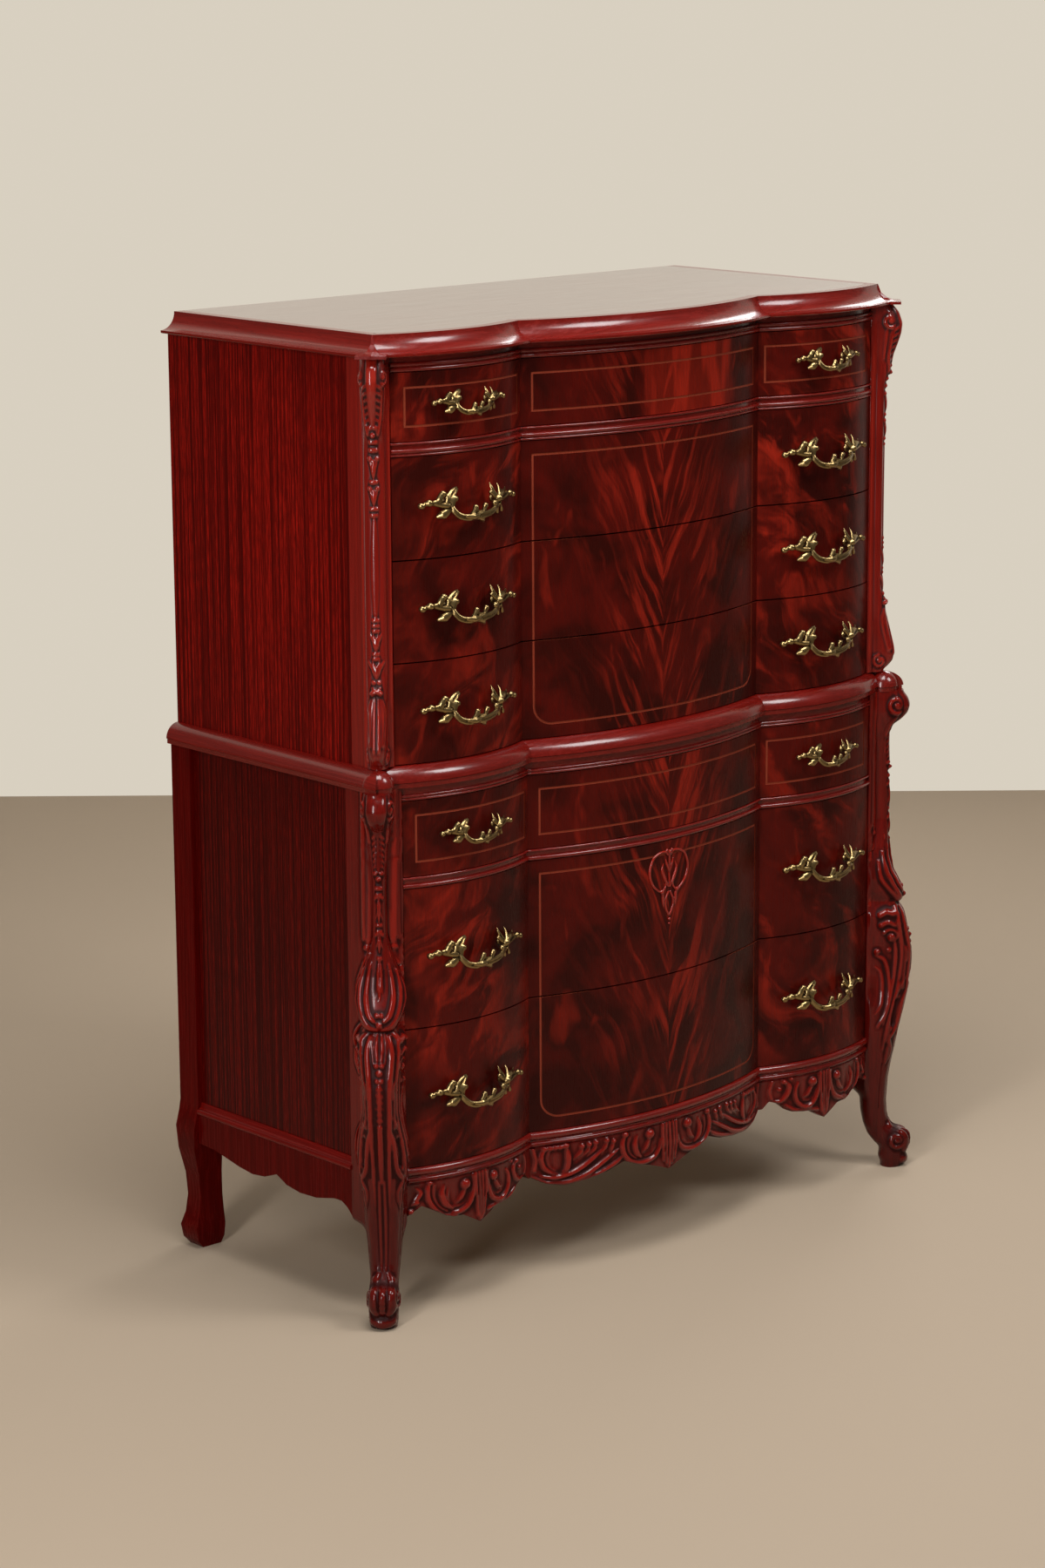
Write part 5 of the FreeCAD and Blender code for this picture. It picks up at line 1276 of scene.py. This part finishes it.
# Ornament on drawer 6
# A small wooden applique of two scrolled loops, husks and a beaded drop, carved thin
# and glued on the middle of the drawer front.
ornament_rods = [
    strand([(0, 584, 0.6), (0, 560, 0.4), (0, 536, 0.8)], (2.2, 1.3, 2.4)),
    berry(0, 587, 0.8, 3.2),
    berry(0, 489, 0.6, 2.6),
    berry(0, 482.5, 0.5, 2.0),
]
for side in (-1, 1):
    for points, thickness in (
        ([(2, 582), (8, 588), (20, 587), (31, 580), (37, 566), (36, 552), (30, 541), (21, 533), (14, 530)],
         (1.4, 1.8, 1.9, 1.9, 2.1, 2.1, 1.9, 1.7, 1.4)),
        ([(14, 530), (8, 536), (7, 546)], (1.6, 1.7, 0.7)),
        ([(2, 537), (9, 549), (14, 562), (11, 572)], (1.5, 2.6, 2.1, 0.6)),
        ([(1, 560), (5, 570), (8, 578)], (1.4, 2.0, 0.6)),
        ([(13, 527), (12, 516), (11, 506)], (2.4, 2.3, 0.5)),
        ([(1, 530), (7, 518), (6.5, 506), (0.5, 494)], (1.6, 1.8, 1.8, 1.6)),
    ):
        ornament_rods.append(strand([(u * side, z, 0.5) for u, z in points], thickness))
    ornament_rods.append(berry(14.5 * side, 530.5, 0.9, 3.4))
    ornament_rods.append(berry(4.5 * side, 590, 0.6, 2.2))
ornament_fineness, ornament_faces = 0.7, 14000
ornament = cast("drawer_6_ornament", ornament_rods, ornament_fineness, ornament_faces)
bend_onto(ornament.data, lower_plan)
select_only(ornament)
bpy.ops.object.shade_smooth()
fit(ornament, post_wood, "drawer_6")


# Floor and light
# A plain pale floor, and a plain wall square to the view, lit by four large soft lamps.
# The wall shows and reflects one even tone, and can't be seen from behind.
floor_width = 30
add_plane = bpy.ops.mesh.primitive_plane_add
floor = add_primitive(add_plane, "studio_floor", size=floor_width, location=(0, 0, 0))
floor_paint, wires, shader = new_finish("studio_floor", 0.75, 0.2)
shader.inputs["Base Color"].default_value = (0.36, 0.285, 0.21, 1)
floor.data.materials.append(floor_paint)

wall_back, wall_width = 2.75, 10
wall_place = Vector((math.sin(turned_right), math.cos(turned_right), 0)) * wall_back
wall_turn = (math.pi / 2, 0, -turned_right)
wall = add_primitive(add_plane, "studio_wall", size=wall_width, location=wall_place, rotation=wall_turn)
wall_colour = (0.69, 0.63, 0.53, 1)
wall_paint, wires, shader = new_finish("studio_wall", 0.9, 0.0)
shader.inputs["Base Color"].default_value = wall_colour
glow = wires.add("ShaderNodeEmission")
glow.inputs["Color"].default_value = wall_colour
clear = wires.add("ShaderNodeBsdfTransparent")
light_path = wires.add("ShaderNodeLightPath").outputs
seen = wires.plus(light_path["Is Camera Ray"], light_path["Is Glossy Ray"], True)
seen = wires.plus(seen, light_path["Is Transmission Ray"], True)
behind = wires.add("ShaderNodeNewGeometry").outputs["Backfacing"]
front_side = wires.fed("ShaderNodeMixShader", seen, shader.outputs[0], glow.outputs[0])
both_sides = wires.fed("ShaderNodeMixShader", behind, front_side, clear.outputs[0])
wires.feed(wall_paint.node_tree.nodes["Material Output"].inputs["Surface"], both_sides)
wall.data.materials.append(wall_paint)

world = bpy.data.worlds.new("studio")
bpy.context.scene.world = world
world.use_nodes = True
sky = world.node_tree.nodes["Background"]
sky.inputs["Color"].default_value = wall_colour
sky.inputs["Strength"].default_value = 0.2


def soft_lamp(name, place, aim_at, size, power):
    bpy.ops.object.light_add(type="AREA", location=place)
    lamp = bpy.context.object
    lamp.name = name
    lamp.data.shape = "RECTANGLE"
    lamp.data.size, lamp.data.size_y = size
    lamp.data.energy = power
    direction = Vector(aim_at) - Vector(place)
    lamp.rotation_euler = direction.to_track_quat("-Z", "Y").to_euler()


soft_lamp("overhead_lamp", (-0.6, -0.8, 3.6), (0, 0, 0.6), (1.5, 1.5), 90)
soft_lamp("left_lamp", (-3.2, -1.4, 1.75), (0, 0, 1.15), (0.4, 2.4), 76)
soft_lamp("front_lamp", (1.2, -2.8, 3.5), (0, 0, 1.2), (1.2, 1.3), 74)
soft_lamp("back_lamp", (2.5, 1.2, 2.5), (0, 0, 0.8), (1.2, 1.2), 34)

scene = bpy.context.scene
scene.view_settings.view_transform = "Standard"
